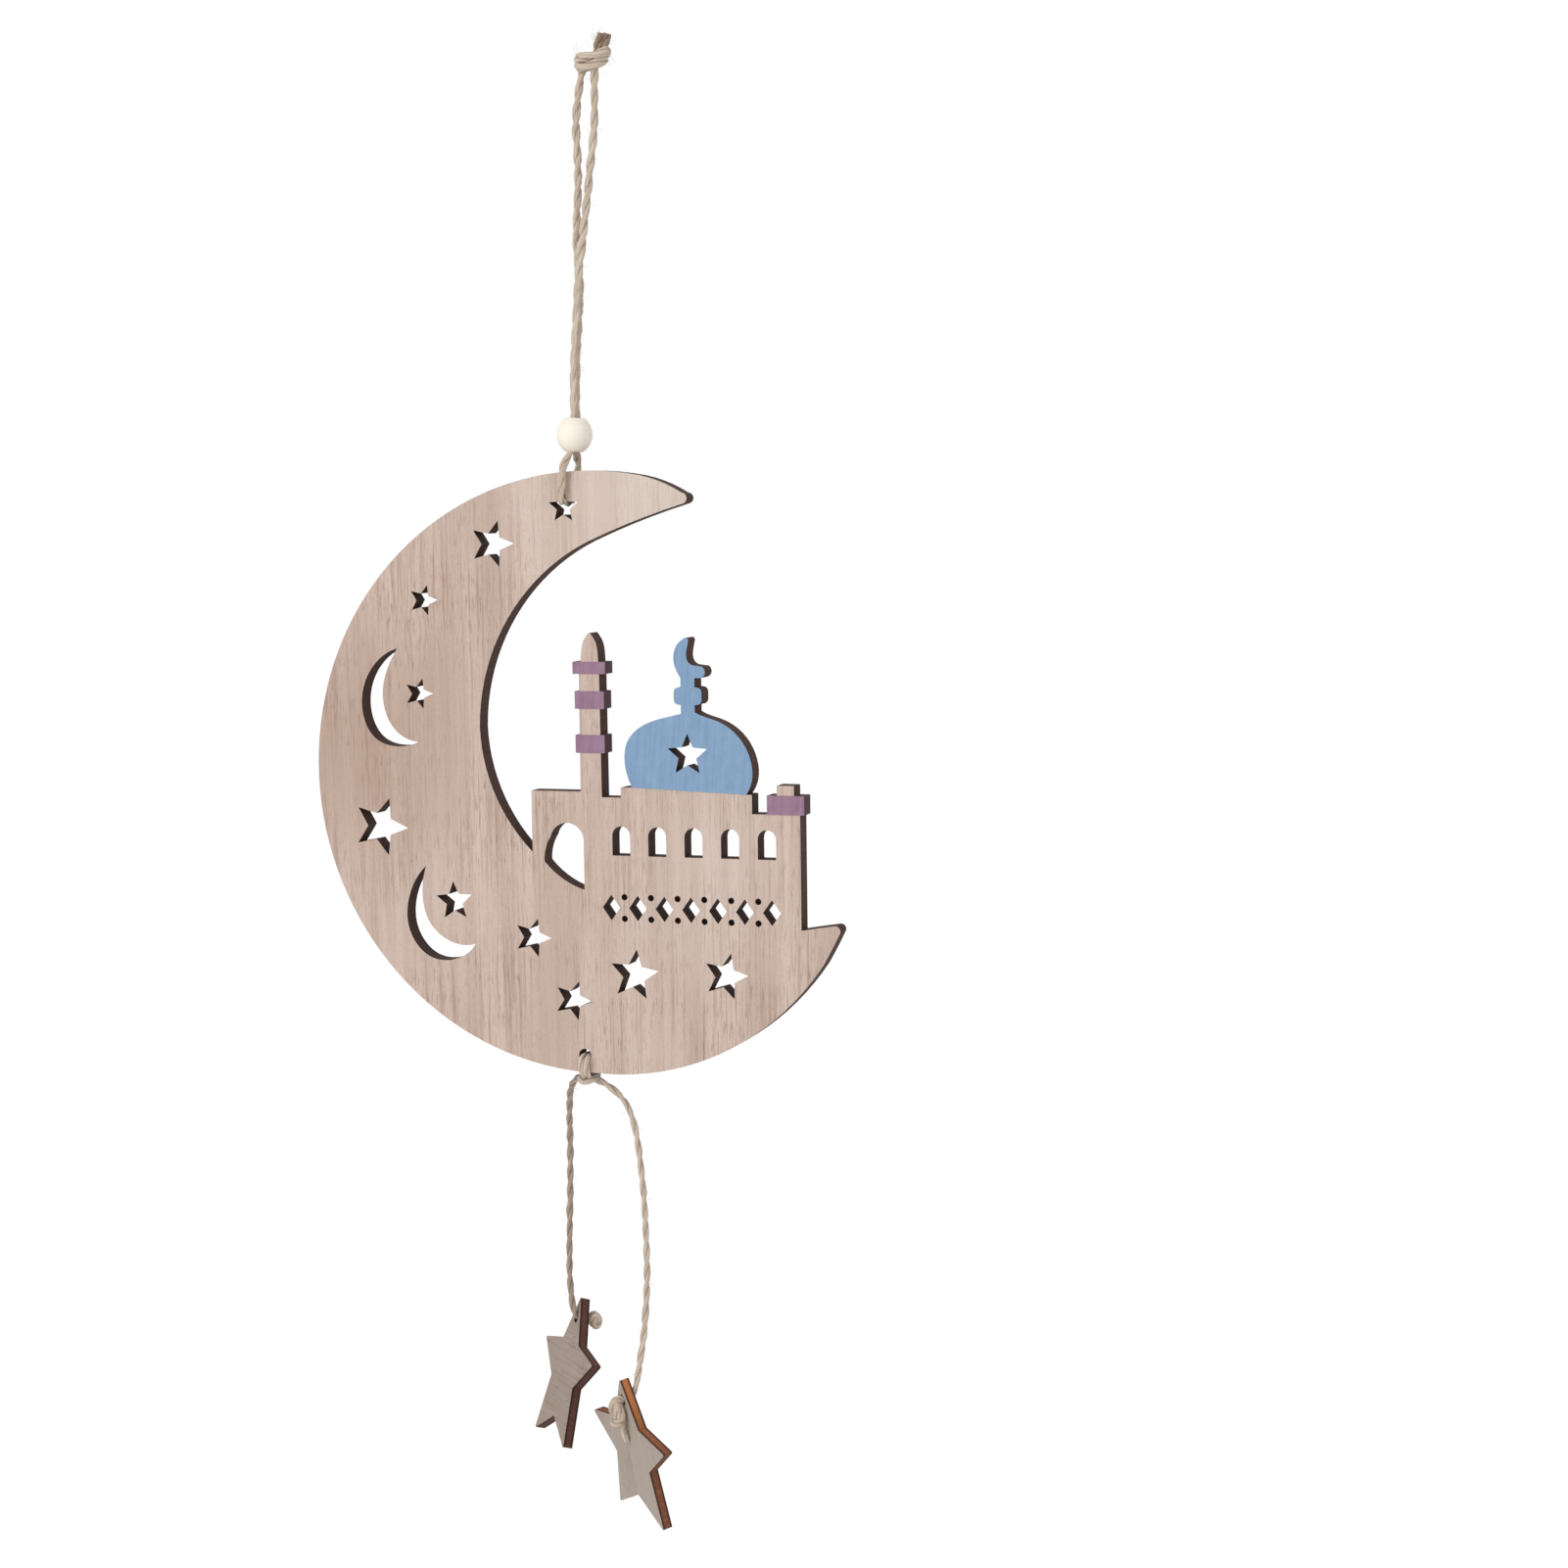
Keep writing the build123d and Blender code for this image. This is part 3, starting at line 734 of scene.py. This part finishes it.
def make_tail(side, route, seed, material):
    """The upper and the lower piece of one tail, split at a share of its length."""
    line = laid(side + "_line", route)
    cut = round(TAIL_CUT * len(line["place"]))
    upper_line = piece_of(line, 0, cut)
    lower_line = piece_of(line, cut, len(line["place"]))
    upper = twist(side + "_tail_upper", [upper_line], seed, material)
    lower = twist(side + "_tail_lower", [lower_line], seed + 1, material)
    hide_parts(side + "_arch", side + "_tail")
    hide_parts(side + "_lead")
    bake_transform(upper)
    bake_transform(lower)
    print(side, "tail is", round(1000 * line["run"][-1], 1), "mm long")
    return upper, lower, upper_line, lower_line


left_upper, left_lower, left_upper_line, left_lower_line = make_tail(
    "left",
    left_route,
    seed=11,
    # The left tail wears the darker jute as painted shade.
    material=shaded_jute,
)
right_upper, right_lower, right_upper_line, right_lower_line = make_tail(
    "right",
    right_route,
    seed=21,
    material=pale_jute,
)

# %% [markdown]
# ## The top knot
# The loop is closed by an overhand knot of both strands: two fat wraps that climb to the
# right round the strands, with the cut ends standing out on top. The ends are cut square,
# and their fibres fray out to the left.

# %% Top knot wraps
KNOT_TWINE = 0.0024
upper_wrap = [
    mm(1.2, 1.0, 4.6),
    mm(-1.6, 2.2, 4.9),
    mm(-3.9, 1.2, 5.1),
    mm(-4.0, -1.1, 5.2),
    mm(-2.0, -2.5, 5.2),
    mm(0.4, -2.6, 5.6),
    mm(2.6, -2.0, 6.5),
    mm(3.6, -0.4, 7.2),
    mm(3.0, 1.5, 7.0),
    mm(0.8, 2.2, 6.3),
    mm(-0.6, 0.8, 5.6),
]
lower_wrap = [
    mm(0.4, 0.6, 4.0),
    mm(-1.8, 2.0, 3.6),
    mm(-3.7, 1.0, 3.2),
    mm(-3.7, -1.2, 3.1),
    mm(-1.6, -2.4, 3.0),
    mm(0.8, -2.4, 3.6),
    mm(2.4, -1.6, 4.5),
    mm(2.9, 0.2, 5.1),
    mm(1.6, 1.8, 4.8),
    mm(-0.6, 1.4, 4.4),
]
front_strand = [
    mm(0.6, -0.8, 2.9),
    mm(0.5, -0.7, 3.6),
    mm(0.4, -0.6, 4.4),
    mm(0.8, -0.3, 6.4),
]
back_strand = [
    mm(-3.1, 0.9, 2.9),
    mm(-2.7, 0.8, 3.7),
    mm(-1.2, 0.5, 4.8),
    mm(0.6, 0.4, 6.4),
]
knot_lines = [
    laid("upper_wrap", upper_wrap),
    laid("lower_wrap", lower_wrap, run_start=0.003),
    laid("front_strand", front_strand),
    laid("back_strand", back_strand),
]
top_knot = twist(
    "top_knot_twine",
    knot_lines,
    seed=31,
    diameter=KNOT_TWINE,
    lay_length=0.016,
    hair_length=0.0012,
)
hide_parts("top_knot")
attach(top_knot, "hanger")

# %% [markdown]
# ## The cut ends
# The two cut ends are browner than the rest. The loose fibres that fray out of them are a
# thin strand with many long hairs, all of which lean to the upper left.

# %% Cut ends of the top knot
first_end = [mm(0.9, -0.5, 5.6), mm(1.1, -0.5, 8.0), mm(1.7, -0.4, 11.3)]
second_end = [mm(1.7, 0.4, 5.8), mm(2.3, 0.4, 8.2), mm(3.1, 0.3, 11.2)]
end_lines = [
    laid("first_end", first_end),
    laid("second_end", second_end, run_start=0.004),
]
cut_ends = twist(
    "cut_ends_twine",
    end_lines,
    seed=33,
    material=brown_jute,
    diameter=0.0021,
    hair_length=0.0011,
)
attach(cut_ends, "hanger")
fray_line = laid("fray", [mm(0.5, -0.6, 7.4), mm(0.8, -0.6, 8.6), mm(1.2, -0.5, 10.2)])
fray = twist(
    "frayed_fibres",
    [fray_line],
    seed=35,
    diameter=0.0009,
    hair_spacing=0.00003,
    hair_length=0.0019,
    hair_lean=(-0.8, 0.0, 0.9),
)
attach(fray, "hanger")


# %% [markdown]
# ## The star knots
# The left star hangs on a small knot behind it, a tight curl of twine. The right star's
# knot lies on its face: a long loop, one pale wrap round it and a frayed end below.


# %% Star directions
def star_axes(turn_deg, nod_deg, roll_deg):
    """A star's own directions: across it, up to its hole, and out of its face."""
    heading, nod, roll = (math.radians(part) for part in (turn_deg, nod_deg, roll_deg))
    face = Vector(
        (math.cos(nod) * math.sin(heading), -math.cos(nod) * math.cos(heading), math.sin(nod))
    )
    level = Vector((math.cos(heading), math.sin(heading), 0))
    across = level * math.cos(roll) + face.cross(level) * math.sin(roll)
    return across, face.cross(across), face


def placed(origin, axes, places):
    """Places along three directions, in mm from an origin, as points."""
    points = []
    for place in places:
        point = Vector(origin)
        for axis, part in zip(axes, place):
            point = point + axis * (part / MM_PER_M)
        points.append(point)
    return points


left_hole, left_axes = mm(5.448, 22.3, -315.368), star_axes(-51.7, 12.7, 7.0)
right_hole, right_axes = mm(28.348, -1.6, -326.018), star_axes(-41.7, -12.4, 1.8)
print("left star faces", [round(part, 2) for part in left_axes[2]])

# %% Left star knot
left_core = [
    (0, 0, -1.3),
    (0.1, 0.2, -2.6),
    (0.4, 0.9, -3.4),
    (0.6, 0.2, -4.4),
    (0.2, -0.8, -3.8),
]
left_curl = [
    (-0.9, -1.2, -2.9),
    (-1.0, 0.6, -2.7),
    (-0.6, 1.6, -3.6),
    (0.0, 1.2, -5.0),
    (0.3, -0.6, -5.2),
    (0.6, -1.7, -4.2),
    (0.9, -0.6, -2.9),
    (1.0, 1.0, -3.0),
    (0.6, 1.3, -4.2),
    (0.2, 0.2, -5.0),
]
left_knot_lines = [
    laid("left_core", placed(left_hole, left_axes, left_core)),
    laid("left_curl", placed(left_hole, left_axes, left_curl), run_start=0.004),
]
left_knot = twist("left_star_knot_twine", left_knot_lines, seed=41, diameter=0.0019)
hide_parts("left_star_knot")
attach(left_knot, "left_star")

# %% Right star knot
right_loop = [
    (0, 0, 1.3),
    (0.0, 0.7, 2.6),
    (-0.6, 0.4, 4.0),
    (-0.9, -1.8, 4.3),
    (-0.6, -4.4, 3.8),
    (0.1, -5.6, 2.9),
    (0.9, -4.2, 2.5),
    (1.0, -1.6, 2.7),
    (0.6, 0.2, 3.3),
    (0.1, -1.4, 3.6),
    (0.0, -4.6, 3.2),
]
right_wrap = [
    (0.6, -4.9, 2.2),
    (-0.9, -5.2, 2.3),
    (-1.4, -5.4, 3.4),
    (-0.7, -5.4, 4.6),
    (0.7, -5.2, 4.5),
    (1.4, -5.0, 3.4),
    (0.8, -4.9, 2.4),
]
right_end = [(0.0, -4.8, 3.0), (0.1, -7.0, 2.7), (0.0, -9.0, 2.3), (0.1, -11.0, 2.0)]
END_SIZE = 0.35
end_line = laid("right_end", placed(right_hole, right_axes, right_end), run_start=0.002)
end_line["size"] = np.linspace(1.0, END_SIZE, len(end_line["size"]))
right_knot_lines = [
    laid("right_loop", placed(right_hole, right_axes, right_loop)),
    laid("right_wrap", placed(right_hole, right_axes, right_wrap), run_start=0.004),
    end_line,
]
right_knot = twist("right_star_knot_twine", right_knot_lines, seed=51, diameter=0.0018)
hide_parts("right_star_knot")
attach(right_knot, "right_star")

# %% [markdown]
# ## The hitch
# The doubled twine of the tails goes through the lower hole and round the rim. Its bight
# crosses in front of the two tails, right under the plate. These stretches stay with the
# plate, so they are one piece.

# %% Hitch
hang_tilt = math.radians(4.4)
plate_right = Vector((math.cos(hang_tilt), 0, math.sin(hang_tilt)))
plate_up = Vector((-math.sin(hang_tilt), 0, math.cos(hang_tilt)))
plate_axes = (plate_right, Vector((0, 1, 0)), plate_up)
plate_middle = mm(10.24, 0, -168.562)
lower_hole = plate_middle - plate_right * 0.0032 - plate_up * 0.0706
hitch_lines = []
for beside, run_start in ((-0.66, 0.0), (0.66, 0.0045)):
    places = [
        (0.5 * beside, 1.6, -5.9),
        (beside, 3.4, -4.4),
        (beside, 3.6, -1.3),
        (beside, 2.4, -0.4),
        (beside, -2.4, -0.4),
        (beside, -3.6, -1.4),
        (beside, -3.5, -4.4),
        (0.8 * beside, -2.0, -5.7),
        (0.5 * beside, 0.0, -5.9),
    ]
    strand = placed(lower_hole, plate_axes, places)
    hitch_lines.append(laid("hitch_strand", strand, run_start))
bight = [
    (-2.1, 1.2, -5.9),
    (-2.3, -1.0, -6.2),
    (-1.0, -2.6, -7.0),
    (0.6, -2.6, -6.7),
    (1.9, -1.2, -5.8),
    (2.1, 1.2, -5.7),
]
hitch_lines.append(laid("bight", placed(lower_hole, plate_axes, bight), run_start=0.002))
hitch = twist("lower_hitch_twine", hitch_lines, seed=61, lay_length=0.014)
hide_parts("lower_hitch")
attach(hitch, "plate")

# %% [markdown]
# ## What the cords are
# Each cord is a fixed length of limp twine that hangs. Here each is printed with what it
# ends in.

# %% Say what the cords are
for piece, line, far_end, knot_pieces in (
    (hanging_cord, hanging_line, "knot", [top_knot]),
    (left_upper, left_upper_line, "object", []),
    (left_lower, left_lower_line, "knot", [left_knot]),
    (right_upper, right_upper_line, "object", []),
    (right_lower, right_lower_line, "knot", [right_knot]),
):
    print(piece.name, "ends in:", far_end)

# %% [markdown]
# ## Laser-cut plywood
# The faces are bare pale veneer: soft broad bands, long fine streaks and short brown
# dashes, all along the grain. The laser leaves every cut edge charred, darkest at the two
# face plies and a redder brown in the core between them. One function makes the wood for
# the plate and for the stars. It measures the place on the piece in millimetres across the
# grain, along it and through the sheet, and tells face from edge by the surface's own
# direction.


# %% Plywood helpers
def in_boxes(tree, across, along, boxes):
    """1 in any of several boxes, each given by its middle and half size in mm, or else 0."""
    share = 0.0
    for middle_u, middle_v, half_u, half_v in boxes:
        off_u = maths(tree, "ABSOLUTE", maths(tree, "SUBTRACT", across, middle_u))
        off_v = maths(tree, "ABSOLUTE", maths(tree, "SUBTRACT", along, middle_v))
        in_u = maths(tree, "LESS_THAN", off_u, half_u)
        in_v = maths(tree, "LESS_THAN", off_v, half_v)
        share = maths(tree, "MAXIMUM", maths(tree, "MULTIPLY", in_u, in_v), share)
    return share


def pinched(tree, across, along, knot):
    """The place across the grain, with the grain drawn together round a small knot."""
    knot_u, knot_v, knot_size, pinch = knot
    off_u = maths(tree, "SUBTRACT", across, knot_u)
    off_v = maths(tree, "MULTIPLY", maths(tree, "SUBTRACT", along, knot_v), 0.6)
    reach = vectors(tree, "LENGTH", joined(tree, off_u, off_v))
    near = ranged(tree, reach, 0.0, knot_size, pinch, 0.0)
    return maths(tree, "SUBTRACT", across, maths(tree, "MULTIPLY", off_u, near))


def with_painted_shade_and_light(tree, across, along, veneer, tones):
    """Veneer with soft darker patches of painted shade and lighter patches of painted light, each
    by its middle and reach in mm.
    """
    for tone_u, tone_v, reach, most, paint in tones:
        off_u = maths(tree, "SUBTRACT", across, tone_u)
        off_v = maths(tree, "SUBTRACT", along, tone_v)
        off = vectors(tree, "LENGTH", joined(tree, off_u, off_v))
        amount = ranged(tree, off, 0.2 * reach, reach, most, 0.0)
        veneer = blended(tree, amount, veneer, linear(paint))
    return veneer


print("helpers for the plywood are ready")

# %% [markdown]
# ## One plywood for all
# The grain is noise in five sizes, each longer along the grain than across it. A knot draws
# the grain together, and soft patches of painted shade and painted light are darker or lighter
# than the rest.

# %% Plywood
# Layers of the grain: name, width across and length along in mm, and detail.
GRAIN_LAYERS = (
    ("band", 7.0, 110.0, 2.0),
    ("streak", 0.7, 38.0, 4.0),
    ("dash", 0.32, 5.0, 2.0),
    ("speckle", 0.35, 0.8, 2.0),
    ("wander", 16.0, 26.0, 1.0),
)
BURN_SIZE = 0.9
FACE_LEAST = 0.6
BAND_SIDE = "#523D42"


def plywood(
    name,
    middle,
    axes,
    colours,
    seed,
    half_thickness,
    ply,
    knot=None,
    boxes=(),
    glow=None,
    tones=(),
):
    """Veneer on the faces and char on the cut edges, for one flat piece."""
    material, tree, shader = new_material(name)
    place = add_node(tree, "ShaderNodeTexCoord")
    from_middle = vectors(tree, "SUBTRACT", place.outputs["Object"], middle)
    across, along, through = (
        vectors(tree, "DOT_PRODUCT", from_middle, axis * MM_PER_M) for axis in axes
    )
    grain = pinched(tree, across, along, knot) if knot else across
    layers = {}
    for layer, width, length, detail in GRAIN_LAYERS:
        wide = maths(tree, "DIVIDE", grain, width)
        tall = maths(tree, "DIVIDE", along, length)
        layers[layer] = noise(tree, joined(tree, wide, tall, seed), detail, 0.6)
    pale, warm, streak, dash, char, core, ember = (linear(colour) for colour in colours)
    veneer = blended(tree, ranged(tree, layers["band"], 0.36, 0.64), pale, warm)
    patch = ranged(tree, layers["wander"], 0.36, 0.62, 0.3, 1.0)
    for layer, low, high, most, paint in (
        ("streak", 0.49, 0.70, 0.95, streak),
        ("dash", 0.55, 0.70, 0.8, dash),
    ):
        amount = ranged(tree, layers[layer], low, high, 0.0, most)
        veneer = blended(tree, maths(tree, "MULTIPLY", amount, patch), veneer, paint)
    specks = ranged(tree, layers["speckle"], 0.45, 0.8, 0.0, 0.22)
    veneer = blended(tree, specks, veneer, dash)
    # Painted shade and painted light go on the veneer here.
    veneer = with_painted_shade_and_light(tree, across, along, veneer, tones)
    burn_u = maths(tree, "DIVIDE", across, BURN_SIZE)
    burn_v = maths(tree, "DIVIDE", along, BURN_SIZE)
    burn = noise(tree, joined(tree, burn_u, burn_v, seed))
    inner = blended(tree, ranged(tree, burn, 0.35, 0.75), core, ember)
    if glow:
        glow_colour, low, high = glow
        inner = blended(tree, ranged(tree, along, low, high), inner, linear(glow_colour))
    depth = maths(tree, "ABSOLUTE", through)
    skin = ranged(tree, depth, half_thickness - ply - 0.15, half_thickness - ply + 0.1)
    edge = blended(tree, skin, inner, char)
    if boxes:
        edge = blended(tree, in_boxes(tree, across, along, boxes), edge, linear(BAND_SIDE))
    facing = vectors(tree, "DOT_PRODUCT", place.outputs["Normal"], axes[2])
    on_face = maths(tree, "GREATER_THAN", maths(tree, "ABSOLUTE", facing), FACE_LEAST)
    tree.links.new(blended(tree, on_face, edge, veneer), shader.inputs["Base Color"])
    bumped(tree, shader, 0.2, 0.00012, layers["dash"])
    shader.inputs["Roughness"].default_value = 0.8
    shader.inputs["Specular IOR Level"].default_value = 0.2
    print("made", material.name, "with", len(tree.nodes), "nodes")
    return material


def dress(node, material):
    """Give a node of the frame its one material."""
    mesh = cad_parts[node].data
    mesh.materials.clear()
    mesh.materials.append(material)


print("layers in the grain:", len(GRAIN_LAYERS))

# %% [markdown]
# ## Wood of the plate
# The plate's veneer has one small knot at the left. Painted shade darkens the veneer at the
# left, and painted light makes it paler at the upper horn and on the wall. The sides of the
# four bands are char with a little mauve on it.

# %% Wood of the plate
PLATE_FRONT = Vector((0, -1, 0))
# Painted shade at the left, painted light at the upper horn and on the wall: middle and reach in
# mm, share and colour.
PLATE_SHADE_AND_LIGHT = (
    (-64.0, 6.0, 42.0, 0.5, "#A88C7C"),
    (22.0, 68.0, 46.0, 0.45, "#E6DACF"),
    (28.0, -24.0, 34.0, 0.18, "#E6DACF"),
)
BAND_BOXES = (
    (-0.25, 7.7, 4.0, 2.4),
    (-0.25, 18.6, 4.0, 2.35),
    (-0.25, 26.55, 4.45, 1.65),
    (50.4, -6.5, 4.9, 2.5),
)
plate_wood = plywood(
    "laser_cut_ash_plywood",
    plate_middle,
    (plate_right, plate_up, PLATE_FRONT),
    ("#D3BFB3", "#C4AEA1", "#A88C7C", "#907466", "#33241F", "#43302A", "#54392F"),
    seed=3.0,
    half_thickness=2.5,
    ply=0.7,
    knot=(-47.5, 35.0, 6.0, 0.75),
    boxes=BAND_BOXES,
    tones=PLATE_SHADE_AND_LIGHT,
)
for node in ("plate_front_ply", "plate_core", "plate_back_ply"):
    dress(node, plate_wood)

# %% [markdown]
# ## Wood of the stars
# The stars are cut from thinner, greyer plywood. The right star's edge is an orange brown
# round its hole, where the core shows through the char.

# %% Wood of the stars
left_wood = plywood(
    "laser_cut_birch_left_star",
    left_hole,
    (left_axes[1], left_axes[0], left_axes[2]),
    ("#A99B91", "#9F8F85", "#8C7B70", "#7C6C60", "#35231F", "#563831", "#66433A"),
    seed=7.0,
    half_thickness=1.25,
    ply=0.5,
)
right_wood = plywood(
    "laser_cut_birch_right_star",
    right_hole,
    right_axes,
    ("#B5A99F", "#AB9D93", "#96877C", "#86776A", "#4A3028", "#744735", "#89573C"),
    seed=11.0,
    half_thickness=1.25,
    ply=0.5,
    glow=("#B87443", -10.0, 1.0),
)
for side, wood in (("left", left_wood), ("right", right_wood)):
    for ply in ("front_ply", "core", "back_ply"):
        dress(f"{side}_star_{ply}", wood)

# %% [markdown]
# ## Thin matte paint
# The dome and the bands are painted by hand with thin matte paint. It lies unevenly and
# lets a little of the grain through.


# %% Paint
# Sizes of the grain and of the uneven coat in metres
PAINT_GRAIN = (0.0007, 0.0007, 0.02)
PAINT_MOTTLE = (0.003, 0.003, 0.003)


def thin_paint(name, colour, deep):
    """Matte paint on bare wood, a little uneven and with some grain through it."""
    material, tree, shader = new_material(name)
    place = add_node(tree, "ShaderNodeTexCoord").outputs["Object"]
    grain = noise(tree, vectors(tree, "DIVIDE", place, PAINT_GRAIN), detail=3.0)
    mottle = noise(tree, vectors(tree, "DIVIDE", place, PAINT_MOTTLE), detail=3.0)
    both = maths(tree, "MULTIPLY_ADD", mottle, 0.4, maths(tree, "MULTIPLY", grain, 0.6))
    mixed = blended(tree, ranged(tree, both, 0.35, 0.65), linear(deep), linear(colour))
    tree.links.new(mixed, shader.inputs["Base Color"])
    bumped(tree, shader, 0.15, 0.0001, grain)
    shader.inputs["Roughness"].default_value = 0.75
    shader.inputs["Specular IOR Level"].default_value = 0.25
    print("made", material.name)
    return material


blue_paint = thin_paint("matte_blue_paint", "#8AA7C5", "#7B98B8")
mauve_paint = thin_paint("matte_mauve_paint", "#A08097", "#8E6D82")
dress("dome_paint", blue_paint)
for node in ("lower_band_paint", "middle_band_paint", "upper_band_paint", "turret_band_paint"):
    dress(node, mauve_paint)

# %% [markdown]
# ## The bead
# The bead is turned from pale wood and has a dull cream finish. Fine turning lines, hardly
# to be seen, run round it.

# %% Bead
bead_wood, tree, shader = new_material("cream_turned_beech")
place = add_node(tree, "ShaderNodeTexCoord").outputs["Object"]
BEAD_RINGS = (0.005, 0.005, 0.0006)
rings = noise(tree, vectors(tree, "DIVIDE", place, BEAD_RINGS), detail=2.0)
rings_share = ranged(tree, rings, 0.3, 0.7)
bead_colour = blended(tree, rings_share, linear("#F8EEDF"), linear("#FBF2E4"))
tree.links.new(bead_colour, shader.inputs["Base Color"])
bumped(tree, shader, 0.05, 0.00005, rings)
shader.inputs["Roughness"].default_value = 0.55
dress("bead", bead_wood)
print("made", bead_wood.name)

# %% [markdown]
# ## Stage and light
# The photograph has a plain white ground. The floor and the world look white to the
# camera, and in mirrors and glass, and the floor keeps a faint shadow. The light is soft:
# a large lamp in front on the left, a weaker one on the right, and an even sky.


# %% Stage and light
def white_share(tree):
    """1 for the rays that are to see plain white, and 0 for those that carry light."""
    path = add_node(tree, "ShaderNodeLightPath")
    share = maths(tree, "MAXIMUM", path.outputs["Is Camera Ray"], path.outputs["Is Glossy Ray"])
    return maths(tree, "MAXIMUM", share, path.outputs["Is Transmission Ray"])


WHITE = (1, 1, 1, 1)
SHADOW_SHARE = 0.2
FLOOR_GLOW = 1.12
FLOOR_HALF, FLOOR_HEIGHT = 4.0, -0.75
scene = bpy.context.scene
scene.view_settings.view_transform = "Standard"
floor_material = bpy.data.materials.new("white_floor")
floor_material.use_nodes = True
tree = floor_material.node_tree
tree.nodes.clear()
glow = add_node(tree, "ShaderNodeEmission", None, {"Color": WHITE, "Strength": FLOOR_GLOW})
dull = add_node(tree, "ShaderNodeBsdfDiffuse", None, {"Color": linear("#F2F2F0")})
share = maths(tree, "MULTIPLY", white_share(tree), 1 - SHADOW_SHARE)
sides = {0: share, 1: dull.outputs[0], 2: glow.outputs[0]}
seen = add_node(tree, "ShaderNodeMixShader", None, sides)
add_node(tree, "ShaderNodeOutputMaterial", None, {"Surface": seen.outputs[0]})
floor_mesh = bpy.data.meshes.new("floor")
corners = [
    (x * FLOOR_HALF, y * FLOOR_HALF, FLOOR_HEIGHT)
    for x, y in ((-1, -1), (1, -1), (1, 1), (-1, 1))
]
floor_mesh.from_pydata(corners, [], [(0, 1, 2, 3)])
floor_mesh.materials.append(floor_material)
floor = link(bpy.data.objects.new("floor", floor_mesh))
print("floor at", FLOOR_HEIGHT, "m")

# %% [markdown]
# ## World and lamps
# The even sky fills the shadows, and the two soft lamps in front give the faces a little
# shape. All of them aim at the middle of the plate.

# %% World and lamps
SKY = 0.62
LIT_MIDDLE = Vector((0.01, 0.0, -0.18))
world = bpy.data.worlds.new("white_studio")
scene.world = world
world.use_nodes = True
tree = world.node_tree
tree.nodes.clear()
sky = add_node(tree, "ShaderNodeBackground", None, {"Color": WHITE, "Strength": SKY})
white = add_node(tree, "ShaderNodeBackground", None, {"Color": WHITE, "Strength": 1.0})
sides = {0: white_share(tree), 1: sky.outputs[0], 2: white.outputs[0]}
seen = add_node(tree, "ShaderNodeMixShader", None, sides)
add_node(tree, "ShaderNodeOutputWorld", None, {"Surface": seen.outputs[0]})
for lamp_name, place, power, size in (
    ("key_softbox", (-0.75, -1.25, 0.45), 11.0, 1.0),
    ("fill_softbox", (1.3, -0.9, 0.1), 3.0, 1.0),
):
    lamp_data = bpy.data.lights.new(lamp_name, "AREA")
    lamp_data.energy = power
    lamp_data.size = size
    lamp = link(bpy.data.objects.new(lamp_name, lamp_data))
    lamp.location = place
    aim = LIT_MIDDLE - lamp.location
    lamp.rotation_euler = aim.to_track_quat("-Z", "Y").to_euler()
